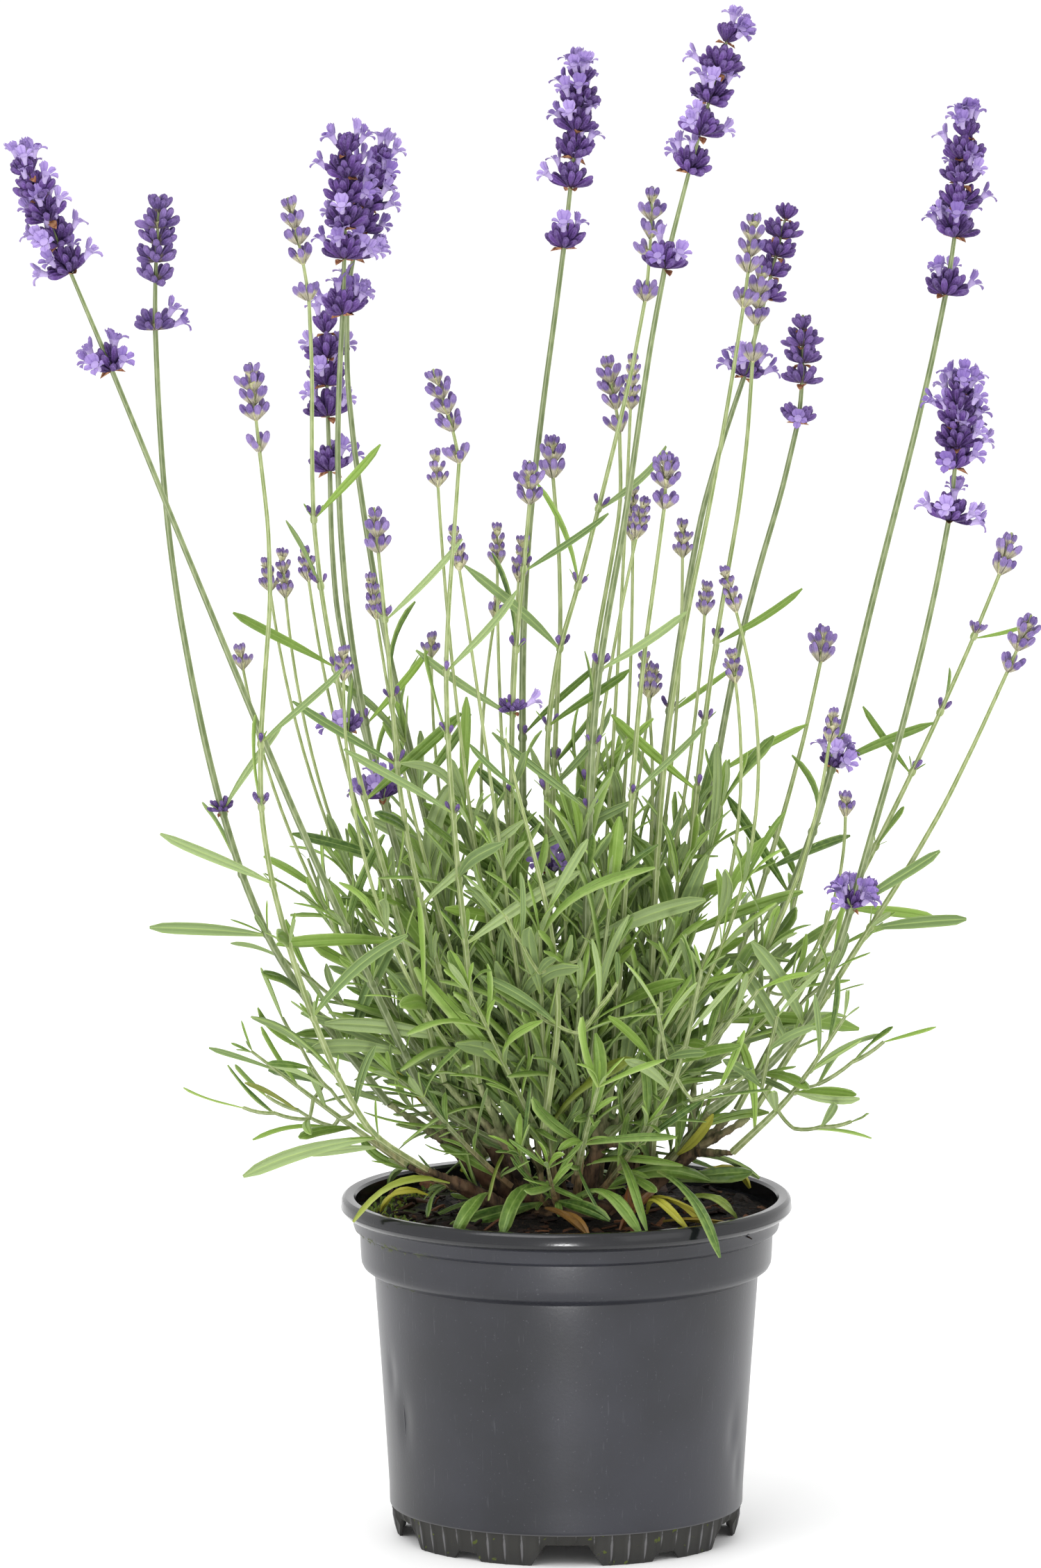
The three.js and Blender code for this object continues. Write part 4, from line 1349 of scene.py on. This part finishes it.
def addWhorl(parts, foot, axis, size, style, rng, heading, flowers, last=False):
    # Two opposite fans of calyces, each over a bract; the last whorl closes upwards.
    close = whorl["close"] if last else 1
    for side in (0, math.pi):
        out = sideways(axis, heading + side)
        across = axis.cross(out)
        for headings, rise, lift in style["rows"]:
            for bearing in headings:
                bearing = math.radians(bearing + rng.gauss(0, whorl["waver"]))
                climb = min(whorl["steepest"], rise + style["fan"] * math.cos(bearing))
                steep = math.radians(90 - (90 - climb) * close + rng.gauss(0, whorl["waver"]))
                level = out * math.cos(bearing) + across * math.sin(bearing)
                direction = level * math.cos(steep) + axis * math.sin(steep)
                spot = foot + (level * whorl["stemRadius"] + axis * lift) * mm * size
                addCalyx(parts, spot, direction, axis, size, style, rng, flowers)
        young = style["young"] > 0.5
        lean = math.radians(rng.uniform(*whorl["freshBract" if young else "dryBract"]))
        direction = axis * math.cos(lean) + out * math.sin(lean)
        long, wide = (side * mm * size for side in style["bract"])
        addBract(parts["bract"], foot + (out * 0.5 - axis * 0.7) * mm, direction, axis, long, wide, young)


flowerParts = {
    "calyx": ("Calyces", calyxPaint),
    "petal": ("Petals", petalPaint),
    "bract": ("Bracts", bractPaint),
    "stem": ("Axis", stemPaint),
}


def newParts():
    return {part: newMesh() for part in flowerParts}


def placeParts(parts, name, slot, replaced):
    for part, bm in parts.items():
        if len(bm.verts) == 0:
            bm.free()
            continue
        label, paint = flowerParts[part]
        addPiece(f"{name}_{label}", bm, paint, slot, replaced if part == "calyx" else ())


def makeSpike(name, seed):
    rng = random.Random(seed)
    number = name[-2:]
    cad = readNode(name)
    rings = readRings(cad, spikeFeet[number])
    cad.free()
    kind = "bud" if name.startswith("bud") else "dark" if number in darkSpikes else "open"
    style = dict(spikes[kind])
    if kind == "dark":
        style["young"] = darkSpikes[number]
    whorls = []
    for before, ring, after in zip(rings, rings[1:], rings[2:]):
        if ring[1] > before[1] and ring[1] > after[1] and ring[1] > 2 * mm:
            whorls.append((before[0], ring[0], ring[1]))
    parts = newParts()
    foot = spikeFeet[number]
    line = [foot - (rings[0][0] - foot) * 0.2]
    line += [centre for centre, _ in rings[:-1]]
    axisPath = resample(smoothPath(resample(line, 24), 3), 14)
    addTube(parts["stem"], axisPath, stemRadii(style["stem"] * mm, 0.45 * mm, 14), style["stemTone"])
    heading = rng.uniform(0, math.tau)
    for i, (foot, middle, radius) in enumerate(whorls):
        axis = (middle - foot).normalized()
        heading += math.pi / 2
        last = i == len(whorls) - 1
        size = max(style["least"], radius / (style["usual"] * mm))
        size = min(whorl["largest"], size) * style["fuller"]
        flowers = whorl["lowestInFlower"] if kind == "dark" and i == 0 else style["flowers"]
        addWhorl(parts, foot, axis, size, style, rng, heading, flowers, last)
    placeParts(parts, f"Spike_{number}", style["slot"], [name])
    return len(whorls)


# Flowers in the leaf axils: stalk, height, kind, size and share in flower.
axilFlowers = [
    ("02", 277, "dark", 0.7, 0.05),
    ("03", 302, "dark", 1.0, 0.15),
    ("04", 286, "open", 1.0, 0.3),
    ("17", 294, "bud", 0.6, 0),
    ("20", 316, "dark", 0.8, 0.1),
    ("09", 277, "open", 0.75, 0.3),
    ("10", 246, "open", 0.8, 0.6),
    ("23", 337, "bud", 0.7, 0),
    ("15", 267, "dark", 0.6, 0.1),
]
axilBuds = {"lowest": 280 * mm, "length": (3.4, 5.2), "radius": (0.8, 1.05), "young": 0.45}


def stemAt(path, spot):
    # The direction of a stem where it is nearest a spot.
    index = min(range(1, len(path) - 1), key=lambda i: (path[i] - spot).length)
    return (path[index + 1] - path[index - 1]).normalized()


def makeAxilFlowers():
    parts = newParts()
    rng = random.Random(31)
    for number, height, kind, size, flowers in axilFlowers:
        path = stemPaths["stalk_" + number]
        spots = [spot for spot in stalkNodes.get(number, []) if abs(spot.z - height * mm) < 16 * mm]
        spot = min(spots or path, key=lambda point: abs(point.z - height * mm))
        axis = stemAt(path, spot)
        addWhorl(parts, spot + axis * mm, axis, size, spikes[kind], rng, rng.uniform(0, math.pi), flowers)
    for number, spots in sorted(stalkNodes.items()):
        path = stemPaths["stalk_" + number]
        for spot in spots:
            if spot.z < axilBuds["lowest"]:
                continue
            axis = stemAt(path, spot)
            heading = rng.uniform(0, math.pi)
            for turn in (0, math.pi):
                out = sideways(axis, heading + turn)
                foot = spot + (out + axis) * mm
                for _ in range(rng.choice([1, 2])):
                    direction = (axis + out * rng.uniform(0.4, 0.8)).normalized()
                    long = rng.uniform(*axilBuds["length"]) * mm
                    wide = rng.uniform(*axilBuds["radius"]) * mm
                    looks = (rng.random(), axilBuds["young"], whorl["calyxBend"])
                    addOrgan(parts["calyx"], calyxTemplate, foot, direction, axis, long, wide, *looks)
    placeParts(parts, "AxilFlowers", "violet_flowers", ())


# Late buds on thin stems: tip x and z, foot x and z, depth, whorls.
lateBuds = [
    (25, 451, 24, 426, 20, 3),
    (-49, 420, -48, 403, -30, 2),
    (-74, 373, -71, 352, -20, 3),
    (-16, 380, -18, 358, 40, 3),
    (25, 401, 25, 375, 30, 3),
    (30, 399, 26, 381, -10, 2),
    (44, 384, 44, 366, 50, 2),
    (53, 363, 52, 348, 20, 2),
    (57, 377, 63, 356, -30, 3),
    (100, 322, 98, 307, -30, 2),
    (-108, 375, -106, 352, 40, 3),
    (-114, 368, -112, 353, 50, 2),
    (-99, 376, -97, 361, 20, 2),
    (-83, 348, -83, 333, -50, 2),
    (-43, 393, -40, 373, -40, 3),
    (-26, 387, -26, 368, 10, 2),
    (-25, 356, -27, 344, 40, 2),
    (-51, 339, -51, 328, 50, 2),
    (-124, 337, -122, 326, 30, 2),
    (29, 335, 31, 314, 40, 2),
    (34, 326, 32, 311, 60, 2),
    (61, 343, 63, 328, -20, 2),
    (105, 284, 105, 273, 10, 1),
]
lateShoots = {
    "long": 44 * mm, "short": 30 * mm, "spread": 36, "rise": 22,
    "spacing": 30 * mm, "first": 0.2, "tone": 0.5, "slim": 0.12,
    "whorlSpacing": 5.2 * mm, "size": 0.82, "stemTone": 0.95, "foot": 165,
}


def makeLateBuds():
    parts = newParts()
    stems = newMesh()
    blades = newMesh()
    rng = random.Random(23)
    for tipX, tipZ, footX, footZ, depth, whorls in lateBuds:
        tip = Vector((tipX, depth, tipZ)) * mm
        foot = Vector((footX, depth, footZ)) * mm
        axis = (tip - foot).normalized()
        start = Vector((footX * 0.3, depth * 0.4, lateShoots["foot"])) * mm
        handle = foot - axis * (foot - start).length * 0.55
        path = arc(start, handle, foot, 22)
        addTube(stems, path, stemRadii(0.85 * mm, 0.6 * mm, len(path)), lateShoots["stemTone"])
        top = foot.lerp(tip, 0.7)
        spine = [foot, foot.lerp(top, 0.5), top]
        addTube(parts["stem"], spine, [0.6 * mm, 0.5 * mm, 0.3 * mm], lateShoots["stemTone"])
        growPairs(blades, path[:11], rng, lateShoots)
        reach = (tip - foot).length
        whorls = max(whorls, round(reach / lateShoots["whorlSpacing"]))
        for i in range(whorls):
            spot = foot + axis * reach * 0.8 * i / whorls
            size = lateShoots["size"] * (1 - 0.3 * i / whorls)
            heading = i * math.pi / 2 + tipX
            addWhorl(parts, spot, axis, size, spikes["late"], rng, heading, 0, i == whorls - 1)
    addPiece("LateStems", stems, stemPaint, "foliage")
    addPiece("LateLeaves", blades, leafPaint, "foliage")
    placeParts(parts, "LateBuds", "lilac_buds", ())


# Camera, light and floor.

studio = {
    "camera": (-17.3, -5000.1, 1029.2),
    "target": (-17.3, 0, 286.4),
    "lens": 309.2,
    "sensor": 36,
    "lamps": [  # name, place in metres, watts, width, height
        ("Key", (-1.0, -1.7, 3.0), 48, 2.4, 2.4),
        ("Fill", (2.0, -2.0, 1.4), 6, 1.8, 1.8),
        ("Back", (0.3, 2.2, 1.8), 10, 1.6, 1.6),
        ("Front", (-0.05, -2.6, 0.12), 22, 0.36, 0.24),
    ],
    "aim": (0, 0, 0.25),
    "sky": 1.06,
    "floor": 0.98,
}


def makeStudio():
    camera = bpy.data.objects.new("Camera", bpy.data.cameras.new("Camera"))
    bpy.context.scene.collection.objects.link(camera)
    camera.location = Vector(studio["camera"]) * mm
    towards = Vector(studio["target"]) * mm - camera.location
    camera.rotation_euler = towards.to_track_quat("-Z", "Y").to_euler()
    camera.data.lens = studio["lens"]
    camera.data.sensor_width = studio["sensor"]
    camera.data.clip_end = 60
    bpy.context.scene.camera = camera

    for name, place, power, width, height in studio["lamps"]:
        lamp = bpy.data.objects.new(name, bpy.data.lights.new(name, "AREA"))
        bpy.context.scene.collection.objects.link(lamp)
        lamp.location = place
        towards = Vector(studio["aim"]) - lamp.location
        lamp.rotation_euler = towards.to_track_quat("-Z", "Y").to_euler()
        lamp.data.energy = power
        lamp.data.shape = "RECTANGLE"
        lamp.data.size = width
        lamp.data.size_y = height

    world = bpy.data.worlds.new("Studio")
    world.use_nodes = True
    sky = world.node_tree.nodes["Background"]
    sky.inputs["Color"].default_value = (1, 1, 1, 1)
    sky.inputs["Strength"].default_value = studio["sky"]
    bpy.context.scene.world = world
    bpy.context.scene.view_settings.view_transform = "Standard"

    bm = newMesh()
    bmesh.ops.create_grid(bm, x_segments=1, y_segments=1, size=20)
    mesh = bpy.data.meshes.new("Floor")
    bm.to_mesh(mesh)
    bm.free()
    paint = Paint("FloorPaint", Roughness=0.7, Specular_IOR_Level=0.2)
    paint.set("Base Color", (studio["floor"], studio["floor"], studio["floor"], 1))
    mesh.materials.append(paint.material)
    floor = bpy.data.objects.new("Floor", mesh)
    bpy.context.scene.collection.objects.link(floor)


makePot()
print("pot done")
makeSoil()
makeChips()
makeMoss()
print("soil done")
makeCrown()
print("crown done")
stalkNames = sorted(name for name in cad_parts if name.startswith("stalk_"))
leafCount = sum(makeStalk(name, 100 + i) for i, name in enumerate(stalkNames))
print("stalks", len(stalkNames), "leaves", leafCount)
shootNames = sorted(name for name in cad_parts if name.startswith("leafy_"))
leafCount = sum(makeLeafyShoot(name, 200 + i) for i, name in enumerate(shootNames))
print("leafy shoots", len(shootNames), "leaves", leafCount)
spikeNames = sorted(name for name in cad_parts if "spike" in name)
whorlCount = sum(makeSpike(name, 300 + i) for i, name in enumerate(spikeNames))
print("spikes", len(spikeNames), "whorls", whorlCount)
makeAxilFlowers()
makeBush()
makeFallenLeaves()
print("bush done")
makeLateBuds()
print("late buds done")
makeStudio()
print("studio done")
